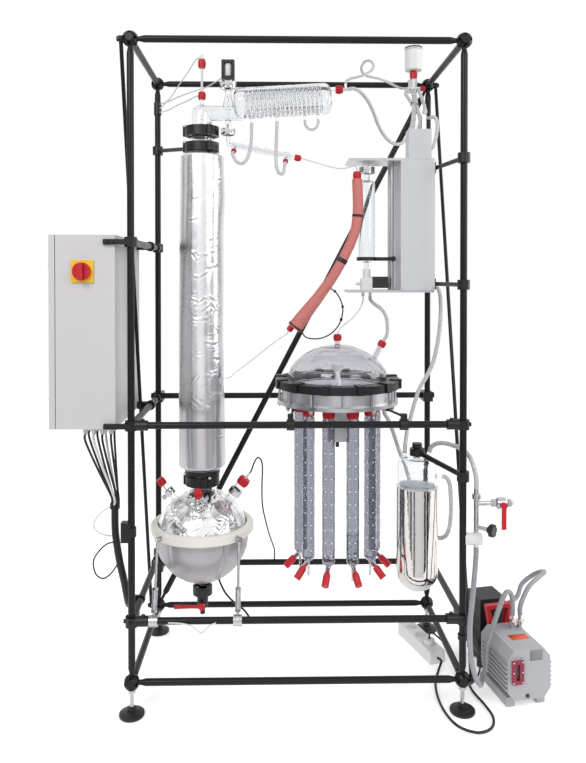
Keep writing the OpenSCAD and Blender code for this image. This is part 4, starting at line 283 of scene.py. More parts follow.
def inBox(tree, low, high):
    mask = 1.0
    for axis, a, b in zip(objectAxes(tree), low, high):
        mask = mathNode(tree, "MULTIPLY", mathNode(tree, "GREATER_THAN", axis, a), mask)
        mask = mathNode(tree, "MULTIPLY", mathNode(tree, "LESS_THAN", axis, b), mask)
    return mask


def nearAxis(tree, x, y, radius):
    axes = objectAxes(tree)
    dx, dy = (mathNode(tree, "SUBTRACT", axis, middle) for axis, middle in zip(axes, (x, y)))
    squares = [mathNode(tree, "MULTIPLY", d, d) for d in (dx, dy)]
    return mathNode(tree, "LESS_THAN", mathNode(tree, "ADD", *squares), radius * radius)


def below(tree, top, low):
    # One below the lower height, nothing above the upper one
    fade = tree.nodes.new("ShaderNodeMapRange")
    fade.interpolation_type = "SMOOTHSTEP"
    setInputs(fade, {"From Min": top, "From Max": low})
    link(tree, objectAxes(tree)["Z"], fade.inputs["Value"])
    return fade.outputs["Result"]


def patch(material, mask, colour, gloss, metal):
    # Another finish where the mask is one
    tree = material.node_tree
    main = tree.nodes["Principled BSDF"]
    for name, value in (("Base Color", (*colour, 1)), ("Roughness", gloss), ("Metallic", metal)):
        mix = tree.nodes.new("ShaderNodeMix")
        mix.data_type = "RGBA" if name == "Base Color" else "FLOAT"
        # A Mix node keeps sockets of each kind, colours after plain values
        a, b, result = (6, 7, 2) if name == "Base Color" else (2, 3, 0)
        socket = main.inputs[name]
        if socket.is_linked:
            link(tree, socket.links[0].from_socket, mix.inputs[a])
        else:
            mix.inputs[a].default_value = socket.default_value
        mix.inputs[b].default_value = value
        link(tree, mask, mix.inputs[0])
        link(tree, mix.outputs[result], socket)


black, pale, chrome = (0.010, 0.010, 0.011), (0.70, 0.70, 0.69), (0.62, 0.62, 0.63)
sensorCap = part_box("pressure_sensor")[1].z - 0.006
motorTip = 0.7735
# Nodes whose solids differ in finish, some with painted light: place in metres, colour, gloss,
# metal
patches = {
    "reflux_magnet": [("axis", (0.278, 0.210, 0.0128), pale, 0.4, 0.0)],
    "burette_valve": [("box", ((0.755, 0.2, 1.281), (0.812, 0.27, 1.323)), black, 0.4, 0.0)],
    "vacuum_pipe": [("box", ((0.9, -0.1, 0.503), (1.2, 0.1, 0.546)), pale, 0.4, 0.0)],
    "levelling_feet": [("box", ((-0.1, -0.1, 0.028), (1.2, 0.7, 0.2)),
                        (0.5, 0.5, 0.51), 0.28, 1.0)],
    # Painted light: the silvered well inside the trap is pale and not metal, to light its shade
    "cold_trap": [("axis", (0.891, 0.150, 0.0605), (0.78, 0.78, 0.79), 0.4, 0.0)],
    "pressure_sensor": [("box", ((0.8, 0.3, sensorCap), (1.1, 0.6, 2.3)),
                         (0.08, 0.08, 0.085), 0.4, 0.0)],
    # Painted light: the metal base inside the dome is pale and not metal, to light its shade
    "collector_base": [("axis", (0.640, 0.230, 0.160), (0.66, 0.66, 0.67), 0.3, 0.0)],
    "distributor_motor": [("box", ((0.4, 0.0, motorTip), (0.9, 0.5, 0.95)),
                           (0.55, 0.55, 0.56), 0.4, 0.0),
                          ("box", ((0.4, 0.0, 0.5), (0.9, 0.5, motorTip)), black, 0.4, 0.0)],
    "pump_body": [("box", ((1.0, 0.0, 0.1803), (1.5, 0.4, 0.3)), chrome, 0.14, 1.0)],
}


def dress():
    for part in frame["record"]["subparts"]:
        obj = nodes[part["node"]]
        obj.data.materials.clear()
        material = mats[nodeFinish.get(part["node"], finishOf[part["material_slot"]])]
        if part["node"] in patches:
            material = material.copy()
            for kind, where, *look in patches[part["node"]]:
                mask = (inBox if kind == "box" else nearAxis)(material.node_tree, *where)
                patch(material, mask, *look)
        obj.data.materials.append(material)


dress()
print("materials made:", len(mats))


# Shared building

def place(obj, key, replaced=()):
    obj.data.materials.append(mats[key])
    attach(obj, "stand")
    if replaced:
        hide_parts(*replaced)
    return obj


def addPiece(name, data, key, replaced, smooth):
    data.polygons.foreach_set("use_smooth", [smooth] * len(data.polygons))
    data.update()
    return place(addObject(name, data), key, replaced)


def meshPiece(name, verts, faces, key, replaced=(), smooth=True):
    data = bpy.data.meshes.new(name)
    data.from_pydata([tuple(v) for v in verts], [], faces)
    return addPiece(name, data, key, replaced, smooth)


def fromBmesh(name, bm, key, smooth=True):
    data = bpy.data.meshes.new(name)
    bm.to_mesh(data)
    bm.free()
    return addPiece(name, data, key, (), smooth)


def ringFaces(a, b, around, flip=False):
    # Faces between two rings of vertices that start at a and b
    faces = []
    for i in range(around):
        n = (i + 1) % around
        face = (a + i, a + n, b + n, b + i)
        faces.append(tuple(reversed(face)) if flip else face)
    return faces


def gridFaces(around, up, flip=False):
    return [f for j in range(up) for f in ringFaces(j * around, (j + 1) * around, around, flip)]


def smoothLine(points, n):
    # Curve through all the points, n steps from one to the next
    p = np.array(points, float)
    last = len(p) - 1
    out = []
    for i in range(last):
        a, b, c, d = p[max(i - 1, 0)], p[i], p[i + 1], p[min(i + 2, last)]
        for k in range(n):
            t = k / n
            square = (2 * a - 5 * b + 4 * c - d) * t * t
            cube = (3 * b - a - 3 * c + d) * t ** 3
            out.append(0.5 * (2 * b + (c - a) * t + square + cube))
    out.append(p[last])
    return np.array(out)


def nearest(line, axis, value):
    return int(np.abs(line[:, axis] - value).argmin())


def frames(line):
    # Two normals at each point, carried along without twist
    slope = np.gradient(line, axis=0)
    tangents = slope / np.linalg.norm(slope, axis=1)[:, None]
    upright = abs(tangents[0][2]) > 0.8
    normal = np.array([1.0, 0, 0]) if upright else np.array([0, 0, 1.0])
    rows = []
    for t in tangents:
        normal = normal - normal.dot(t) * t
        normal = normal / np.linalg.norm(normal)
        rows.append((normal, np.cross(t, normal)))
    return rows


def tube(name, line, radii, sides, key, replaced=(), wrinkle=None):
    # Wrinkle: depth, two scales and the share of the finer one
    verts = []
    for centre, r0, (a, b) in zip(line, radii, frames(line)):
        for k in range(sides):
            w = 2 * math.pi * k / sides
            r = r0
            out = math.cos(w) * a + math.sin(w) * b
            if wrinkle:
                depth, broad, fine, share = wrinkle
                spot = Vector(centre + out * r)
                r += depth * (noise.noise(spot * broad) + share * noise.noise(spot * fine))
            verts.append(centre + r * out)
    faces = gridFaces(sides, len(line) - 1)
    faces.append(tuple(reversed(range(sides))))
    last = (len(line) - 1) * sides
    faces.append(tuple(range(last, last + sides)))
    return meshPiece(name, verts, faces, key, replaced)


# Cords: name, radius and points as in the part's source, in millimetres
cordRoutes = {
    "hoses": [
        ("sHose", 6, [
            (674.7, 210, 1938.5), (692, 213, 1941), (717, 238, 1936), (745, 270, 1916),
            (769, 305, 1886), (791, 338, 1849), (817, 370, 1818), (846, 400, 1800),
            (876, 425, 1798), (905, 448, 1815), (926, 463, 1850), (937, 469, 1900),
            (940, 470, 1945), (940, 470, 1985)]),
        ("loopHose", 4.5, [
            (663.7, 210, 1953.9), (668, 212, 1966), (685, 217, 1976), (712, 226, 1985),
            (738, 238, 1998), (758, 252, 2016), (764, 268, 2036), (754, 282, 2054),
            (738, 294, 2054), (728, 304, 2038), (734, 314, 2022), (752, 326, 2014),
            (785, 345, 2013), (825, 385, 2013), (860, 430, 2012), (890, 463, 2010),
            (907, 470, 2010), (916, 470, 2010)]),
        ("leftHose", 5.5, [
            (355.2, 210, 1826.3), (355, 208, 1808), (355, 197, 1784), (354, 185, 1758),
            (350, 177, 1730), (342, 172, 1704), (327, 168, 1687), (308, 166, 1692),
            (294.7, 173.9, 1716), (296.6, 183.8, 1725.7)]),
        ("midHose", 5.5, [
            (438.2, 210, 1831.3), (438, 208, 1812), (437, 197, 1786), (436, 186, 1758),
            (435, 178, 1728), (435, 173, 1700), (437, 169, 1674), (446, 166, 1655),
            (458, 166, 1656), (463.5, 173.9, 1683.2), (465.4, 183.8, 1692.9)]),
        ("shortHose", 4.5, [
            (530.8, 210, 1836.8), (530.8, 210, 1824.8), (538.8, 210, 1810.8),
            (552.8, 210, 1804.8), (566.8, 210, 1811.8), (574, 210, 1827.3), (574, 210, 1839.3)]),
        ("doseHose", 6, [
            (750, 238, 1255), (752, 238, 1242), (766, 237, 1228), (788, 236, 1212),
            (803, 235, 1188), (807, 233, 1160), (805.9, 230, 1129.1), (793.7, 230, 1106.1)]),
        ("ventHose", 7, [
            (966, 262, 1292), (978, 262, 1290), (990, 260, 1262), (992, 256, 1210),
            (988, 254, 1150), (978, 255, 1080), (960, 256, 1015), (919, 256, 940),
            (907, 250, 908), (895, 240, 876), (883, 225, 844), (870, 205, 818), (861, 180, 793),
            (854, 160, 772), (850.8, 150, 753.8)]),
        ("trapHose", 7.5, [
            (931.2, 150, 753.8), (937, 149, 770), (953, 138, 784), (972, 118, 790),
            (990, 92, 790), (1012, 55, 786), (1030, 25, 765), (1040, 8, 725), (1042, 4, 700),
            (1042, 4, 678)]),
        ("inletHose", 7, [
            (972, 150, 674), (984, 150, 672), (996, 148, 652), (1000, 146, 604),
            (1000, 146, 550), (996, 155, 500), (985, 175, 468), (965, 210, 455), (940, 245, 470),
            (915, 262, 520), (890, 270, 620), (850, 262, 740), (820, 253, 825), (801, 250, 860),
            (798, 250, 885)]),
        ("pumpHose", 8, [
            (1042, 4, 500), (1040, 0, 470), (1034, -9, 425), (1026, -20, 375), (1018, -29, 325),
            (1013, -34, 280), (1012, -38, 230), (1016, -40, 180), (1028, -36, 130),
            (1050, -10, 88), (1068, 35, 68), (1082, 70, 72), (1093, 70, 100), (1101, 87, 152),
            (1133, 112, 218), (1159, 132, 267), (1179, 143, 296), (1196.3, 150.7, 294),
            (1203.3, 151.7, 272), (1204.3, 151.7, 248), (1204.3, 151.7, 220)]),
        ("outHose", 8, [
            (1230.8, 156.8, 220), (1230.8, 156.8, 242), (1242.8, 164.8, 268),
            (1270.8, 186.8, 298), (1315.8, 222.8, 312), (1352.8, 268.8, 308),
            (1362.8, 308.8, 296), (1342.8, 338.8, 272), (1302.8, 342.8, 238),
            (1277.8, 316.8, 208), (1246, 298.4, 194), (1215.6, 292.5, 190)]),
        ("bundleHoseA", 6, [
            (928, 458, 2003), (915, 452, 2000), (905, 436, 1982), (912, 400, 1950),
            (916, 350, 1918), (907, 290, 1875), (896, 245, 1833), (889, 226, 1800)]),
        ("bundleHoseB", 6, [
            (940.5, 458, 2003), (940, 446, 1996), (939, 430, 1974), (932, 370, 1927),
            (926, 310, 1884), (921, 260, 1847), (911, 235, 1815), (909, 228, 1800)]),
        ("bundleHoseC", 6, [
            (953, 458, 2003), (955, 446, 1996), (960, 410, 1955), (957, 360, 1920),
            (948, 300, 1884), (939, 260, 1881), (930, 236, 1874), (926, 226, 1857)]),
        ("sideHose", 6, [
            (947, 226, 1850), (959, 224, 1851), (968, 220, 1841), (969, 215, 1816),
            (965, 210, 1791), (960, 206, 1769), (953, 204, 1749), (941, 204, 1739)]),
    ],
    "cables": [
        ("glandCableA", 3.5, [
            (-69, 40, 842), (-69, 40, 818), (-59.1, 40, 737.2), (-47.1, 40, 649),
            (-47.1, 40, 627)]),
        ("glandCableB", 3.5, [
            (-95, 40, 842), (-95, 40, 818), (-74.9, 36.5, 737.2), (-50.3, 32.3, 649),
            (-50.3, 32.3, 627)]),
        ("glandCableC", 3.5, [
            (-121, 40, 842), (-121, 40, 818), (-92.7, 35.1, 737.2), (-58, 29.1, 649),
            (-58, 29.1, 627)]),
        ("glandCableD", 3.5, [
            (-147, 40, 842), (-147, 40, 818), (-110.4, 36.5, 737.2), (-65.7, 32.3, 649),
            (-65.7, 32.3, 627)]),
        ("glandCableE", 3.5, [
            (-69, 86, 842), (-69, 86, 818), (-60.6, 68.8, 737.2), (-50.3, 47.7, 649),
            (-50.3, 47.7, 627)]),
        ("glandCableF", 3.5, [
            (-95, 86, 842), (-95, 86, 818), (-78.3, 70.2, 737.2), (-58, 50.9, 649),
            (-58, 50.9, 627)]),
        ("glandCableG", 3.5, [
            (-121, 86, 842), (-121, 86, 818), (-96.1, 68.8, 737.2), (-65.7, 47.7, 649),
            (-65.7, 47.7, 627)]),
        ("glandCableH", 3.5, [
            (-147, 86, 842), (-147, 86, 818), (-111.9, 65.3, 737.2), (-68.9, 40, 649),
            (-68.9, 40, 627)]),
        ("cableSleeve", 11, [
            (-58, 40, 613), (-58, 39, 590), (-56, 34, 550), (-50, 28, 508), (-40, 26, 450),
            (-30, 30, 400), (-24, 42, 350), (-23, 66, 310), (-23, 100, 290), (-23, 125, 285),
            (-23, 140, 285)]),
        ("signalLoop", 2.2, [
            (-58, 28, 514), (-78, 24, 510), (-100, 20, 492), (-118, 18, 462), (-112, 16, 424),
            (-90, 16, 408), (-68, 18, 420), (-48, 24, 446)]),
        ("probeLead", 2.5, [
            (348.4, 210, 672.2), (354, 210, 681), (362, 211, 704), (374, 212, 722),
            (386, 214, 712), (390, 217, 684), (388, 222, 620), (390, 240, 552), (400, 300, 480),
            (412, 390, 400), (424, 480, 330), (430, 520.3, 295), (430, 524.3, 257.6)]),
        ("mantleLead", 3, [
            (249, 173, 336), (256, 160, 325), (275, 120, 312), (305, 70, 306), (335, 30, 303),
            (352, 9, 292)]),
        ("heatLead", 2.2, [
            (598, 198, 1288), (614, 198, 1282), (633, 199, 1268), (649, 200, 1240),
            (655, 201, 1210), (646, 202, 1170), (622, 203, 1138), (588, 205, 1119),
            (553, 206, 1116), (530, 206, 1124), (518, 207, 1144)]),
        ("pumpLead", 4, [
            (1145.5, 338.9, 216), (1143.2, 350.7, 216), (1136, 372, 200), (1123, 386, 150),
            (1106, 382, 90), (1088, 350, 35), (1070, 290, 8), (1050, 190, 6), (1060, 180, 6),
            (1058, 100, 6), (1076, 20, 6), (1082, -40, 6), (1062, -88, 6), (1018, -108, 6),
            (972, -84, 6), (948, -30, 6), (940, 50, 6), (950, 140, 6), (975, 205, 10),
            (993.7, 243.8, 20), (986.7, 264.7, 20)]),
        ("plugLead", 3, [
            (1015, 4, 230), (1030, 8, 222), (1050, 14, 190), (1062, 22, 140), (1058, 40, 85),
            (1044, 75, 40), (1034, 140, 14), (1032, 220, 20), (1015, 285, 55),
            (990.3, 306.8, 76), (972.9, 317.8, 80), (968.9, 317.8, 58)]),
    ],
    "thin_lines": [
        ("coolLine", 2, [
            (517.5, 210, 1709.4), (532.2, 210, 1706.6), (580, 206, 1692), (628, 199, 1678),
            (660, 194, 1676), (686, 191, 1682), (698, 190, 1678), (700, 190, 1664)]),
        ("feedLine", 2, [
            (476, 208, 1142), (468, 208, 1131), (440, 208, 1112), (399, 208, 1081),
            (350, 208, 1042), (300, 209, 1004), (285, 210, 990), (267, 210, 985)]),
        ("domeLine", 2, [
            (726, 238, 1255), (726, 238, 1240), (716, 236, 1214), (692, 234, 1184),
            (662, 232, 1160), (648, 230.5, 1148), (640, 230, 1129)]),
        ("tipLine", 2, [
            (188, 211, 2041), (170, 222, 2034), (140, 270, 2010), (100, 340, 1985),
            (60, 420, 1962), (25, 475, 1946), (9, 491, 1938)]),
        ("magnetLine", 2, [
            (258, 211, 1974), (244, 214, 1966), (222, 232, 1958), (190, 262, 1952),
            (140, 330, 1956), (90, 400, 1958), (45, 460, 1956), (9, 491, 1954)]),
        ("capLine", 2, [
            (181, 211, 1914), (165, 220, 1912), (130, 280, 1912), (90, 360, 1918),
            (45, 450, 1922), (9, 491, 1924)]),
        ("postLine", 2, [
            (-72, 36, 620), (-92, 28, 608), (-112, 20, 586), (-116, 16, 562), (-98, 16, 546),
            (-80, 22, 537), (-63, 31, 531)]),
        ("barLine", 2, [
            (111, -12.7, 285), (150, -12.7, 283), (178, -12.7, 276), (198, -12.7, 262),
            (210, -12.7, 254), (222, -12.7, 262), (236, -12.7, 276), (254, -12.7, 284)]),
    ],
}
cordFinish = {"hoses": "hose", "cables": "cable", "thin_lines": "line"}
cordKeys = {
    "glandCableC": "line", "glandCableF": "line", "pumpHose": "hoseGrey", "outHose": "hoseGrey",
}
cordLook = {"steps": 8, "roundness": 4, "limpBelow": 3.5}
cordLines = {}


def makeCords():
    for node, rows in cordRoutes.items():
        for name, radius, points in rows:
            line = smoothLine(np.array(points) * mm, cordLook["steps"])
            data = bpy.data.curves.new(name, "CURVE")
            data.dimensions = "3D"
            data.bevel_depth = radius * mm
            data.bevel_resolution = cordLook["roundness"]
            data.use_fill_caps = True
            spline = data.splines.new("POLY")
            spline.points.add(len(line) - 1)
            spline.points.foreach_set("co", np.c_[line, np.ones(len(line))].ravel())
            spline.use_smooth = True
            obj = place(addObject(name, data), cordKeys.get(name, cordFinish[node]), (node,))
            cordLines[name] = line


# Foam-covered line: points and radii in millimetres, the rest in metres
wrap = {
    "points": [(700, 190, 1640), (702, 190, 1600), (703, 190, 1560), (702, 190, 1520),
               (696, 190, 1480), (683, 190, 1440), (661, 190, 1392), (625, 192, 1327),
               (580, 198, 1262), (540, 203, 1210), (514, 206, 1176), (496, 208, 1152)],
    "radii": [17, 17, 17, 17, 16.5, 16, 16, 16.5, 18, 21, 23.5, 25],
    "steps": 10, "sides": 40, "wrinkle": (0.0006, 34, 90, 0.5), "diameter": 0.037,
    "ties": {"wrapTieA": 1.520, "wrapTieB": 1.371, "wrapTieC": 1.158},
    "tieSteps": 3, "tieProud": 0.0012,
}


def makeWrap():
    line = smoothLine(np.array(wrap["points"]) * mm, wrap["steps"])
    size = smoothLine(np.array(wrap["radii"])[:, None] * mm, wrap["steps"])[:, 0]
    foam = tube("insulatedLine", line, size, wrap["sides"], "pink", ("insulated_line",),
                wrap["wrinkle"])
    # Black ties round the foam
    for name, z in wrap["ties"].items():
        i = nearest(line, 2, z)
        tie = smoothLine(line[max(i - 1, 0):i + 2], wrap["tieSteps"])
        tube(name, tie, np.full(len(tie), size[i] + wrap["tieProud"]), wrap["sides"], "cable")


makeCords()
makeWrap()
print("cords made:", len(cordLines) + 1)


# Foil-faced insulation

ridge = {"finer": 1.9, "fade": 0.52, "shift": (7.3, 1.7, 3.1)}
foldLook = {"gain": 1.6, "ends": (0.03, 0.97)}


def ridged(p, octaves):
    total, size = 0.0, 1.0
    for i in range(octaves):
        spot = p * (ridge["finer"] ** i) + Vector([s * i for s in ridge["shift"]])
        total += size * (1 - abs(2 * noise.noise(spot)))
        size *= ridge["fade"]
    return total


def step(a, b, x):
    t = np.clip((x - a) / (b - a), 0, 1)
    return t * t * (3 - 2 * t)


def band(x, start, end, soft):
    # One between start and end, with soft edges inside and past them
    return step(start, start + soft, x) * (1 - step(end, end + soft, x))


def noiseAt(points, scale):
    return np.array([noise.noise(Vector(p)) for p in points * np.array(scale)])


def heightNoise(z, x, y, scale):
    # Noise that changes with height alone
    return noiseAt(np.c_[np.full(len(z), x), np.full(len(z), y), z], (1, 1, scale))


def fromFront(w):
    # Degrees from the front, positive to the right
    return np.degrees(np.arctan2(np.cos(w), -np.sin(w)))


def fold(at, east, north, tilt, size, width, depth):
    run = (math.cos(tilt) * east + math.sin(tilt) * north) * size / 2
    across = north * math.cos(tilt) - east * math.sin(tilt)
    return at - run, at + run, across, width, depth


def creased(points, folds):
    # Short sharp folds, raised on one side and sunk on the other
    total = np.zeros(len(points))
    for a, b, across, width, depth in folds:
        run = b - a
        t = np.clip((points - a) @ run / run.dot(run), 0, 1)
        away = points - a - t[:, None] * run
        near = np.exp(-(np.linalg.norm(away, axis=1) / width) ** 2)
        swell = np.sin(math.pi * np.clip(t, *foldLook["ends"])) ** 0.5
        total += foldLook["gain"] * depth * swell * (away @ across) / width * near
    return total


# Metres, degrees from the front, shares of the height; tilts in radians
jacket = {
    "grid": (192, 440), "proud": 0.0045, "taper": 0.0065, "sunk": 0.0035, "bore": 0.0408,
    "seed": 11, "folds": 70, "foldAngles": (-20, 64),
    "crowded": (0.2, 0.75), "spread": (0.05, 0.97), "crowdedShare": 0.75,
    "levelShare": 0.8, "levelTilt": 0.35, "steepTilt": 1.5,
    "foldLength": (0.012, 0.050), "foldWidth": (0.0030, 0.0055), "foldDepth": (0.0006, 0.0017),
    "lap": 0.0013, "lapAt": -23, "lapSway": 6, "lapNoise": (0.3, 0.1, 7), "lapSoft": 2.5,
    "lapEnd": (120, 124),
    "waves": [(0.0020, (5, 5, 3.2)), (0.0006, (24, 24, 1.4))],
    "crush": 0.0007, "crushScale": (15, 15, 15), "crushFrom": (-22, -10),
    "dents": 0.0034, "dentNoise": (0.5, 0.2, 8), "dentFrom": (45, 80), "dentTo": (125, 150),
    "endRound": 0.016, "endCurve": 1.5, "lean": -0.0035, "leanReach": 1.15,
    "shadeFrom": 1.02, "shadeTo": 0.80, "paintedShade": ((0.60, 0.585, 0.605), 0.3, 1.0), "fill": 0.8,
}


def jacketFolds(wide, z0, z1):
    rng = np.random.default_rng(jacket["seed"])
    crowded = jacket["crowdedShare"]
    folds = []
    for k in range(jacket["folds"]):
        turn = math.radians(rng.uniform(*jacket["foldAngles"]))
        shares = [rng.uniform(*jacket["crowded"]), rng.uniform(*jacket["spread"])]
        height = z0 + (z1 - z0) * rng.choice(shares, p=[crowded, 1 - crowded])
        if rng.random() < jacket["levelShare"]:
            tilt = rng.normal(0, jacket["levelTilt"])
        else:
            tilt = rng.uniform(-jacket["steepTilt"], jacket["steepTilt"])
        r = wide + jacket["proud"] - jacket["taper"] * (height - z0) / (z1 - z0)
        at = np.array([r * math.sin(turn), -r * math.cos(turn), height])
        east, north = np.array([math.cos(turn), math.sin(turn), 0]), np.array([0, 0, 1.0])
        folds.append(fold(at, east, north, tilt, rng.uniform(*jacket["foldLength"]),
                          rng.uniform(*jacket["foldWidth"]), rng.uniform(*jacket["foldDepth"])))
    return folds


def makeJacket():
    # Rolled foil sheet: smooth on the left, with short folds down its front
    low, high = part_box("column_jacket")
    x0, y0 = (low.x + high.x) / 2, (low.y + high.y) / 2
    wide, z0, z1 = (high.x - low.x) / 2, low.z, high.z
    (around, up), bore = jacket["grid"], jacket["bore"]
    w = np.tile(2 * math.pi * np.arange(around) / around, up + 1)
    share = np.repeat(np.arange(up + 1) / up, around)
    z = z0 + (z1 - z0) * share
    deg = fromFront(w)
    base = wide + jacket["proud"] - jacket["taper"] * share
    points = np.c_[np.cos(w) * base, np.sin(w) * base, z]
    edge = jacket["lapAt"] + jacket["lapSway"] * heightNoise(z, *jacket["lapNoise"])
    r = base - jacket["sunk"]
    lap = jacket["lap"] * step(edge, edge + jacket["lapSoft"], deg)
    r += lap * (1 - step(*jacket["lapEnd"], deg))
    r += creased(points, jacketFolds(wide, z0, z1))
    for depth, scale in jacket["waves"]:
        r += depth * noiseAt(points, scale)
    r += jacket["crush"] * noiseAt(points, jacket["crushScale"]) * step(*jacket["crushFrom"], deg)
    dents = jacket["dents"] * heightNoise(z, *jacket["dentNoise"])
    r += dents * step(*jacket["dentFrom"], deg) * (1 - step(*jacket["dentTo"], deg))
    end = np.minimum(z - z0, z1 - z)
    r -= jacket["endRound"] * (1 - step(0, jacket["endRound"], end)) ** jacket["endCurve"]
    lean = jacket["lean"] * np.sin(math.pi * np.minimum(1, share * jacket["leanReach"]))
    verts = [tuple(v) for v in np.c_[x0 + lean + r * np.cos(w), y0 + r * np.sin(w), z]]
    faces = gridFaces(around, up)
    # Turned-in ends
    for ring, height, flip in ((0, z0, True), (up, z1, False)):
        faces += ringFaces(ring * around, len(verts), around, flip)
        for i in range(around):
            turn = 2 * math.pi * i / around
            verts.append((x0 + bore * math.cos(turn), y0 + bore * math.sin(turn), height))
    # Painted shade: the foil is darker in colour towards the bottom, standing in for its darker
    # reflection there
    shadedPart = below(mats["foil"].node_tree, jacket["shadeFrom"], jacket["shadeTo"])
    patch(mats["foil"], shadedPart, *jacket["paintedShade"])
    piece = meshPiece("foilJacket", verts, faces, "foil", ("column_jacket",))


# Both halves of the flask's cover, from the opening at the pole to the rim, in metres
flaskWrap = {"centre": (0.192, 0.210, 0.472), "bore": 0.1405, "sunk": 0.0022, "calm": 0.1,
             "swell": 0.0014, "swellScale": (13, 13, 13), "fill": 0.7}
cover = {
    "node": "flask_cover", "key": "litCoverFoil", "side": 1, "grid": (380, 200),
    "radius": 0.150, "hole": 0.0435, "rim": 0.0145,
    "seed": 5, "folds": 170, "tilt": 1.5, "keepOff": (0.08, 0.03),
    "foldLength": (0.008, 0.045), "foldWidth": (0.0025, 0.0050), "foldDepth": (0.0008, 0.0022),
    "ridges": 0.0036, "ridgeScale": 13, "ridgeLayers": 2, "ridgeMiddle": 0.9,
    # Taped patches: height, degrees across with their soft edge, polar angle with its own
    "patches": [(0.0013, (-24, -3, 2), (0.86, 1.16, 0.03)),
                (0.0011, (-1, 38, 2), (0.9, 1.10, 0.03))],
}
mantle = {
    "node": "heating_mantle", "key": "mantle", "side": -1, "grid": (220, 120),
    "radius": 0.154, "hole": 0.0265, "rim": -0.0125,
    "ridges": 0.0005, "ridgeScale": 20, "ridgeLayers": 3, "ridgeMiddle": 1.1,
    "seams": (-38, 33, 100, -110, 170), "seamDepth": 0.0018, "seamWidth": 2.4,
    "panel": 0.0012, "panelAcross": (-37, 30, 2),
}


def ridges(points, look):
    return look["ridges"] * np.array([
        ridged(Vector(p) * look["ridgeScale"], look["ridgeLayers"]) - look["ridgeMiddle"]
        for p in points])


def coverRelief(points, deg, polar, keep, first, final):
    rng = np.random.default_rng(cover["seed"])
    radius = cover["radius"]
    span = first + cover["keepOff"][0], final - cover["keepOff"][1]
    folds = []
    for k in range(cover["folds"]):
        turn = rng.uniform(-math.pi, math.pi)
        tilt = rng.uniform(-cover["tilt"], cover["tilt"])
        down = rng.uniform(*span)
        out = np.array([math.sin(down) * math.sin(turn), -math.sin(down) * math.cos(turn),
                        math.cos(down)])
        east = np.array([math.cos(turn), math.sin(turn), 0])
        folds.append(fold(radius * out, east, np.cross(out, east), tilt,
                          rng.uniform(*cover["foldLength"]), rng.uniform(*cover["foldWidth"]),
                          rng.uniform(*cover["foldDepth"])))
    relief = keep * (creased(points, folds) + ridges(points, cover))
    for height, across, along in cover["patches"]:
        relief += height * band(deg, *across) * band(polar, *along)
    return relief


def mantleRelief(points, deg, polar, keep, first, final):
    relief = keep * ridges(points, mantle)
    # Sewn panels
    for seam in mantle["seams"]:
        gap = np.abs((deg - seam + 180) % 360 - 180)
        relief -= mantle["seamDepth"] * (1 - step(0, mantle["seamWidth"], gap))
    return relief + mantle["panel"] * band(deg, *mantle["panelAcross"])


def makeBowl(name, look, shape):
    centre, radius = np.array(flaskWrap["centre"]), look["radius"]
    first, final = math.asin(look["hole"] / radius), math.acos(look["rim"] / radius)
    around, up = look["grid"]
    w = np.tile(2 * math.pi * np.arange(around) / around, up + 1)
    polar = np.repeat(first + (final - first) * np.arange(up + 1) / up, around)
    out = np.c_[np.sin(polar) * np.cos(w), np.sin(polar) * np.sin(w), np.cos(polar) * look["side"]]
    keep = step(0, flaskWrap["calm"], np.minimum(polar - first, final - polar))
    points = out * radius
    r = radius - flaskWrap["sunk"] + flaskWrap["swell"] * noiseAt(points, flaskWrap["swellScale"])
    r += shape(points, fromFront(w), polar, keep, first, final)
    verts = [tuple(v) for v in centre + out * r[:, None]]
    faces = gridFaces(around, up, look["side"] > 0)
    for ring in (0, up):
        faces += ringFaces(ring * around, len(verts), around)
        for i in range(around):
            v = np.array(verts[ring * around + i]) - centre
            verts.append(tuple(centre + v * (flaskWrap["bore"] / np.linalg.norm(v))))
    piece = meshPiece(name, verts, faces, look["key"], (look["node"],))


makeJacket()
makeBowl("foilCover", cover, coverRelief)
makeBowl("mantleShell", mantle, mantleRelief)
print("insulation made")


# Small details

headShape = {"dome": 0.3, "shoulder": 0.92, "top": 0.75}
boxSides = ((0, 1, 3, 2), (4, 6, 7, 5), (0, 4, 5, 1), (2, 3, 7, 6), (0, 2, 6, 4), (1, 5, 7, 3))


def addBox(bm, low, high, turn, edge=0):
    corners = [(x, y, z) for x in (low[0], high[0]) for y in (low[1], high[1])
               for z in (low[2], high[2])]
    made = [bm.verts.new(turn @ Vector(c)) for c in corners]
    for side in boxSides:
        bm.faces.new([made[i] for i in side])
    if edge:
        edges = list(dict.fromkeys(e for v in made for e in v.link_edges))
        bmesh.ops.bevel(bm, geom=edges, offset=edge, segments=2, affect="EDGES", material=-1)


def upTo(axis):
    return Vector((0, 0, 1)).rotation_difference(Vector(axis)).to_matrix().to_4x4()


def addSpun(bm, profile, sides, turn):
    # Radii and heights turned full circle, with closed poles, then put in place
    old = set(bm.verts)
    row = [bm.verts.new((r, 0, z)) for r, z in profile]
    edges = [bm.edges.new(pair) for pair in zip(row, row[1:])]
    bmesh.ops.spin(bm, geom=row + edges, cent=(0, 0, 0), axis=(0, 0, 1), angle=2 * math.pi,
                   steps=sides, use_merge=True)
    bmesh.ops.remove_doubles(bm, verts=[v for v in bm.verts if v not in old], dist=1e-6)
    made = [v for v in bm.verts if v not in old]
    faces = list(dict.fromkeys(f for v in made for f in v.link_faces))
    bmesh.ops.recalc_face_normals(bm, faces=faces)
    bmesh.ops.transform(bm, matrix=turn, verts=made)


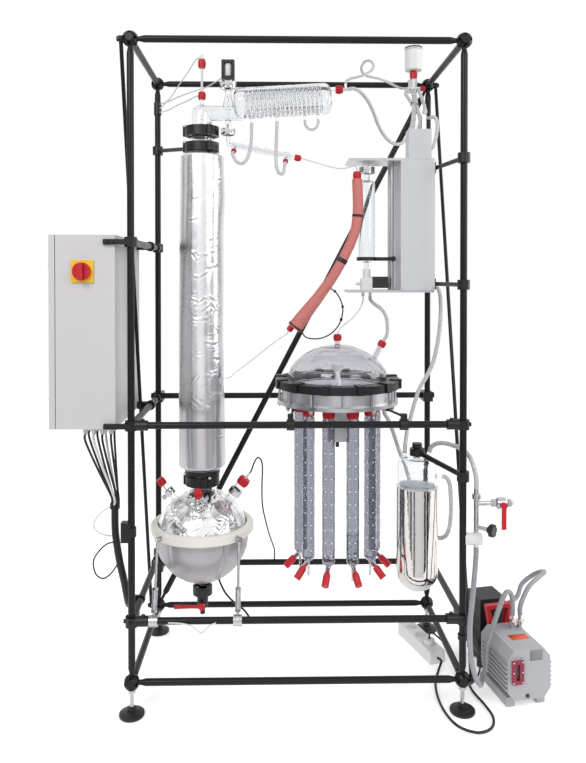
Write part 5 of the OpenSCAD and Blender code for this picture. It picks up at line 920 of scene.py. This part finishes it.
def addDisc(bm, centre, axis, radius, height, sides):
    # Round head standing on its centre, with a rounded rim
    dome = headShape["dome"]
    profile = [(0, 0), (radius, 0), (radius, height * (1 - dome)),
               (radius * headShape["shoulder"], height * (1 - dome / 3)),
               (radius * headShape["top"], height), (0, height)]
    addSpun(bm, profile, sides, Matrix.Translation(Vector(centre)) @ upTo(axis))


def islands(obj):
    # Vertex places of each separate solid in a mesh
    data = obj.data
    parent = list(range(len(data.vertices)))

    def root(i):
        while parent[i] != i:
            parent[i] = parent[parent[i]]
            i = parent[i]
        return i
    seen = {}
    for v in data.vertices:
        key = tuple(round(c, 6) for c in v.co)
        parent[root(v.index)] = root(seen.setdefault(key, v.index))
    for e in data.edges:
        parent[root(e.vertices[0])] = root(e.vertices[1])
    groups = {}
    for v in data.vertices:
        groups.setdefault(root(v.index), []).append(tuple(v.co))
    return [np.array(g) for g in groups.values()]


# Ribs on the screw caps, in metres, with the bare share at each end
capRib = {"pitch": 0.0028, "fewest": 14, "half": 0.0007, "sunk": 0.0012, "proud": 0.0005,
          "bare": 0.24}


def makeCapRibs():
    bm = bmesh.new()
    for points in islands(nodes["screw_caps"]):
        middle = (points.min(axis=0) + points.max(axis=0)) / 2
        values, vectors = np.linalg.eigh(np.cov((points - middle).T))
        axis = vectors[:, 2 if values[1] - values[0] < values[2] - values[1] else 0]
        centre = points.mean(axis=0)
        along = (points - centre) @ axis
        away = np.linalg.norm(points - centre - along[:, None] * axis, axis=1)
        radius, low, high = away.max(), along.min(), along.max()
        bare = capRib["bare"] * (high - low)
        stand = Matrix.Translation(Vector(centre)) @ upTo(axis)
        count = max(capRib["fewest"], int(2 * math.pi * radius / capRib["pitch"]))
        for k in range(count):
            addBox(bm, (radius - capRib["sunk"], -capRib["half"], low + bare),
                   (radius + capRib["proud"], capRib["half"], high - bare),
                   stand @ Matrix.Rotation(2 * math.pi * k / count, 4, "Z"))
    fromBmesh("capRibs", bm, "red", smooth=False)


# Ring of receivers: metres, degrees from the front, radians from the viewer for the marks
receivers = {
    "centre": (0.640, 0.230), "ring": 0.124, "angles": (-90, -54, -18, 18, 54, 90),
    "viewer": (0.427, -2.12), "markSides": (-0.5, 0.45), "markSkin": (0.0203, 0.0208),
    "markHalf": (0.0021, 0.0017), "markRows": 11, "markLow": 0.440, "markPitch": 0.0405,
}
# Liquid in one receiver: round foot, then the hollow of its surface as radius and height
distillate = {
    "angle": 18, "radius": 0.0182, "foot": [(0, 0.4023), (0.0015, 0.4023)], "footCentre": 0.4205,
    "arc": (0.3, math.pi / 2, 8), "sides": 48,
    "surface": [(0.0182, 0.503), (0.0176, 0.5015), (0.008, 0.5005), (0.0008, 0.5005), (0, 0.5005)],
}


def receiverPlace(angle):
    a, (x, y) = math.radians(angle), receivers["centre"]
    return x + receivers["ring"] * math.sin(a), y - receivers["ring"] * math.cos(a)


def makeReceiverMarks():
    bm = bmesh.new()
    inner, outer = receivers["markSkin"]
    wide, tall = receivers["markHalf"]
    for angle in receivers["angles"]:
        x, y = receiverPlace(angle)
        toward = math.atan2(receivers["viewer"][1] - y, receivers["viewer"][0] - x)
        for side in receivers["markSides"]:
            spin = Matrix.Translation((x, y, 0)) @ Matrix.Rotation(toward + side, 4, "Z")
            for k in range(receivers["markRows"]):
                z = receivers["markLow"] + receivers["markPitch"] * k
                addBox(bm, (inner, -wide, z - tall), (outer, wide, z + tall), spin)
    fromBmesh("receiverMarks", bm, "mark", smooth=False)


def makeDistillate():
    r, z0 = distillate["radius"], distillate["footCentre"]
    bowl = [(r * math.sin(t), z0 - r * math.cos(t)) for t in np.linspace(*distillate["arc"])]
    bm = bmesh.new()
    addSpun(bm, distillate["foot"] + bowl + distillate["surface"], distillate["sides"],
            Matrix.Translation((*receiverPlace(distillate["angle"]), 0)))
    fromBmesh("distillate", bm, "liquid")


# On the pump, in metres from the middle of its front's foot, as low and high corners
pumpFront = {
    "at": (1.209, 0.012, 0), "turn": 11,
    "bezel": ((-0.062, 0.082), (-0.022, 0.156)), "bezelCorner": 0.006,
    "slot": ((-0.0475, 0.094), (-0.0365, 0.144)), "slotCorner": 0.004,
    "bezelSkin": (-0.0085, -0.0051),
    "window": [((-0.0485, -0.0052, 0.092), (-0.0355, -0.0046, 0.146), 0.0002),
               ((-0.0472, -0.0062, 0.0945), (-0.0368, -0.0052, 0.1435), 0.0004)],
    "screwX": (-0.057, -0.027), "screwZ": (0.088, 0.119, 0.150), "screw": (0.0024, 0.0014, 12),
    "topLabel": [((-0.022, 0.062, 0.18005), (0.038, 0.094, 0.18035), 0.0001)],
    "bareSign": [((0.002, -0.0009, 0.146), (0.044, -0.0001, 0.1775), 0.0003)],
    "drain": [((-0.006, 0, 0.040), (0.0062, 0.004, 24)),
              ((-0.006, -0.004, 0.040), (0.0036, 0.0012, 6))],
}
pumpPlace = (Matrix.Translation(pumpFront["at"])
             @ Matrix.Rotation(math.radians(pumpFront["turn"]), 4, "Z"))
cornerSteps = 6


def roundedOutline(low, high, r):
    spots = []
    for cx, cz, start in ((high[0] - r, high[1] - r, 0), (low[0] + r, high[1] - r, 90),
                          (low[0] + r, low[1] + r, 180), (high[0] - r, low[1] + r, 270)):
        for k in range(cornerSteps + 1):
            w = math.radians(start + 90 / cornerSteps * k)
            spots.append((cx + r * math.cos(w), cz + r * math.sin(w)))
    return spots


def makeBezel():
    # Rounded plate with a rounded slot
    bm = bmesh.new()
    outer = roundedOutline(*pumpFront["bezel"], pumpFront["bezelCorner"])
    inner = roundedOutline(*pumpFront["slot"], pumpFront["slotCorner"])
    front, back = pumpFront["bezelSkin"]
    rings = [[bm.verts.new(pumpPlace @ Vector((x, y, z))) for x, z in ring]
             for ring, y in ((outer, back), (outer, front), (inner, front), (inner, back))]
    for a, b in zip(rings, rings[1:] + rings[:1]):
        for k in range(len(a)):
            n = (k + 1) % len(a)
            bm.faces.new((a[k], a[n], b[n], b[k]))
    fromBmesh("sightBezel", bm, "bezel", smooth=False)


def pumpPlates(name, rows, key):
    bm = bmesh.new()
    for low, high, edge in rows:
        addBox(bm, low, high, pumpPlace, edge)
    fromBmesh(name, bm, key)


def pumpHeads(name, rows, key):
    bm = bmesh.new()
    front = pumpPlace.to_3x3() @ Vector((0, -1, 0))
    for at, size in rows:
        addDisc(bm, pumpPlace @ Vector(at), front, *size)
    fromBmesh(name, bm, key)


def makePumpDetails():
    makeBezel()
    pumpPlates("sightWindow", pumpFront["window"], "dark")
    screws = [((x, pumpFront["bezelSkin"][0], z), pumpFront["screw"])
              for x in pumpFront["screwX"] for z in pumpFront["screwZ"]]
    pumpHeads("sightScrews", screws, "bright")
    pumpPlates("topLabel", pumpFront["topLabel"], "sticker")
    pumpPlates("bareSign", pumpFront["bareSign"], "panel")
    pumpHeads("drainScrew", pumpFront["drain"], "dark")


housingScrew = {"x": (0.848, 0.945), "y": 0.1699, "z": (1.284, 1.692),
                "size": (0.0032, 0.0014, 16)}


def makeScrews():
    bm = bmesh.new()
    for x in housingScrew["x"]:
        for z in housingScrew["z"]:
            addDisc(bm, (x, housingScrew["y"], z), (0, -1, 0), *housingScrew["size"])
    fromBmesh("housingScrews", bm, "bright")


# Cord fittings, in metres
leadRelief = {"points": 12, "steps": 4, "reach": 0.034, "foot": 0.0078, "taper": 0.0030,
              "rib": 0.0005, "sides": 28}
bundleTie = {"y": 0.366, "radius": 0.0066, "width": 0.005, "thick": 0.0012, "steps": 48}
heatTies = {"heatTieA": 1.272, "heatTieB": 1.222, "heatTieC": 1.180}
heatBead = {"ends": (0.0028, 0.0042), "middle": 0.0046, "steps": 4, "sides": 20, "within": 40}


def tieRound(name, a, b, axis):
    # Flat band drawn round two hoses that lie side by side
    axis, a, b = Vector(axis).normalized(), Vector(a), Vector(b)
    u = (b - a) - (b - a).dot(axis) * axis
    u.normalize()
    v = axis.cross(u)
    mid, half, n = (a + b) / 2, axis * bundleTie["width"] / 2, bundleTie["steps"]
    verts = []
    for t in np.linspace(0, 2 * math.pi, n, endpoint=False):
        q = a if math.cos(t) < 0 else b
        q = q + bundleTie["radius"] * (math.cos(t) * u + math.sin(t) * v)
        out = (q - mid).normalized() * bundleTie["thick"]
        verts += [q - half, q - half + out, q + half + out, q + half]
    faces = []
    for i in range(n):
        here, ahead = 4 * i, 4 * ((i + 1) % n)
        faces += [(here + k, ahead + k, ahead + (k + 1) % 4, here + (k + 1) % 4) for k in range(4)]
    meshPiece(name, verts, faces, "cable", smooth=False)


def makeCordDetails():
    # Tapered relief where the mains lead leaves the motor
    lead = cordLines["pumpLead"][:leadRelief["points"]]
    run = np.r_[0, np.cumsum(np.linalg.norm(np.diff(lead, axis=0), axis=1))]
    count = int((run < leadRelief["reach"]).sum())
    line = smoothLine(lead[:count], leadRelief["steps"])
    foot, taper, rib = leadRelief["foot"], leadRelief["taper"], leadRelief["rib"]
    size = [foot - taper * i / (len(line) - 1) + rib * (i // 2 % 2) for i in range(len(line))]
    tube("leadRelief", line, size, leadRelief["sides"], "cable")
    a, b = cordLines["bundleHoseA"], cordLines["bundleHoseB"]
    i, k = nearest(a, 1, bundleTie["y"]), nearest(b, 1, bundleTie["y"])
    tieRound("bundleTie", a[i], b[k], a[i + 1] - a[i - 1])
    heat = cordLines["heatLead"]
    for name, z in heatTies.items():
        j = nearest(heat[:heatBead["within"]], 2, z)
        bead = smoothLine(heat[max(j - 1, 0):j + 2], heatBead["steps"])
        ends = heatBead["ends"]
        radii = [*ends, *[heatBead["middle"]] * (len(bead) - 4), *reversed(ends)]
        tube(name, bead, np.array(radii), heatBead["sides"], "cable")


makeCapRibs()
makeReceiverMarks()
makeDistillate()
makePumpDetails()
makeScrews()
makeCordDetails()
print("details made")


# Light

studio = {
    # Bright walls with a few dark doorways, for the metal and the glass to show: turn and level
    "walls": [(0.0, 1.0), (0.055, 1.0), (0.065, 0.25), (0.08, 0.25), (0.088, 0.95), (0.105, 0.95),
              (0.112, 0.2), (0.135, 0.25), (0.142, 0.8), (0.165, 0.75), (0.172, 0.15), (0.215, 0.2),
              (0.225, 0.8), (0.285, 0.75), (0.295, 0.3), (0.345, 0.4), (0.36, 0.95), (0.5, 1.0),
              (0.62, 0.9), (0.66, 0.6), (0.7, 0.25), (0.72, 0.3), (0.735, 0.95), (0.8, 0.9),
              (0.81, 0.35), (0.86, 0.3), (0.87, 0.85), (0.893, 0.8), (0.9, 0.05), (0.918, 0.05),
              (0.928, 0.9), (1.0, 1.0)],
    "blue": 1.01, "wallTop": (0.15, 0.6), "level": 0.8, "glossyGain": 0.2,
}
# Place, aim, size and power
lamps = {
    "keyLight": ((-1.2, -2.6, 3.2), (0.5, 0.2, 1.0), (1.6, 1.6), 58),
    "fillLight": ((2.6, -2.2, 2.4), (0.5, 0.2, 0.9), (1.4, 1.8), 27),
    "sideLight": ((3.4, 0.3, 1.8), (0.2, 0.2, 1.1), (1.5, 2.0), 32),
}
paleFloor = {"half": (4, 4.4, 1), "at": (0.5, 3.7, -0.0005), "glow": 0.42}


def makeWorld():
    world = bpy.data.worlds.new("studio")
    bpy.context.scene.world = world
    world.use_nodes = True
    tree = world.node_tree
    back, out = tree.nodes["Background"], tree.nodes["World Output"]
    where, split, scaled, ramp, height, mix, plain, path, both = shaderNodes(
        tree, "TexCoord", "SeparateXYZ", "MapRange", "ValToRGB", "MapRange", "Mix", "Background",
        "LightPath", "MixShader")
    link(tree, where.outputs["Generated"], split.inputs[0])
    turn = mathNode(tree, "ARCTAN2", split.outputs["X"], split.outputs["Y"])
    setInputs(scaled, {"From Min": -math.pi, "From Max": math.pi})
    link(tree, turn, scaled.inputs["Value"])
    bar = ramp.color_ramp
    while len(bar.elements) < len(studio["walls"]):
        bar.elements.new(0.5)
    for element, (at, value) in zip(bar.elements, studio["walls"]):
        element.position = at
        element.color = (value, value, value * studio["blue"], 1)
    link(tree, scaled.outputs[0], ramp.inputs[0])
    setInputs(height, dict(zip(("From Min", "From Max"), studio["wallTop"])))
    link(tree, split.outputs["Z"], height.inputs["Value"])
    mix.data_type = "RGBA"
    mix.inputs["B"].default_value = (1, 1, 1, 1)
    link(tree, height.outputs[0], mix.inputs["Factor"])
    link(tree, ramp.outputs[0], mix.inputs["A"])
    link(tree, mix.outputs["Result"], back.inputs["Color"])
    gain = mathNode(tree, "MULTIPLY_ADD", path.outputs["Is Glossy Ray"], studio["glossyGain"],
                    studio["level"])
    link(tree, gain, back.inputs["Strength"])
    # The eye and the glass see plain white
    seen = mathNode(tree, "MAXIMUM", path.outputs["Is Camera Ray"],
                    path.outputs["Is Transmission Ray"])
    setInputs(plain, {"Color": (1, 1, 1, 1), "Strength": 1.0})
    link(tree, seen, both.inputs[0])
    link(tree, back.outputs[0], both.inputs[1])
    link(tree, plain.outputs[0], both.inputs[2])
    link(tree, both.outputs[0], out.inputs["Surface"])


def makeLamps():
    for name, (at, aim, size, power) in lamps.items():
        data = bpy.data.lights.new(name, "AREA")
        data.shape = "RECTANGLE"
        data.size, data.size_y = size
        data.energy = power
        light = addObject(name, data)
        light.location = at
        light.rotation_euler = (Vector(aim) - Vector(at)).to_track_quat("-Z", "Y").to_euler()


def makeStage():
    bm = bmesh.new()
    bmesh.ops.create_grid(bm, x_segments=1, y_segments=1, size=1)
    bmesh.ops.scale(bm, vec=paleFloor["half"], verts=bm.verts)
    data = bpy.data.meshes.new("floor")
    bm.to_mesh(data)
    bm.free()
    data.materials.append(finish("paleFloor", (0.82, 0.82, 0.82), 0.8, 0.02, 3, 60, 0.01,
                                 Specular_IOR_Level=0.1, Emission_Color=(1, 1, 1, 1),
                                 Emission_Strength=paleFloor["glow"]))
    floor = addObject("floor", data)
    floor.location = paleFloor["at"]


makeWorld()
makeLamps()
makeStage()
bpy.context.scene.view_settings.view_transform = "Standard"
print("light made")
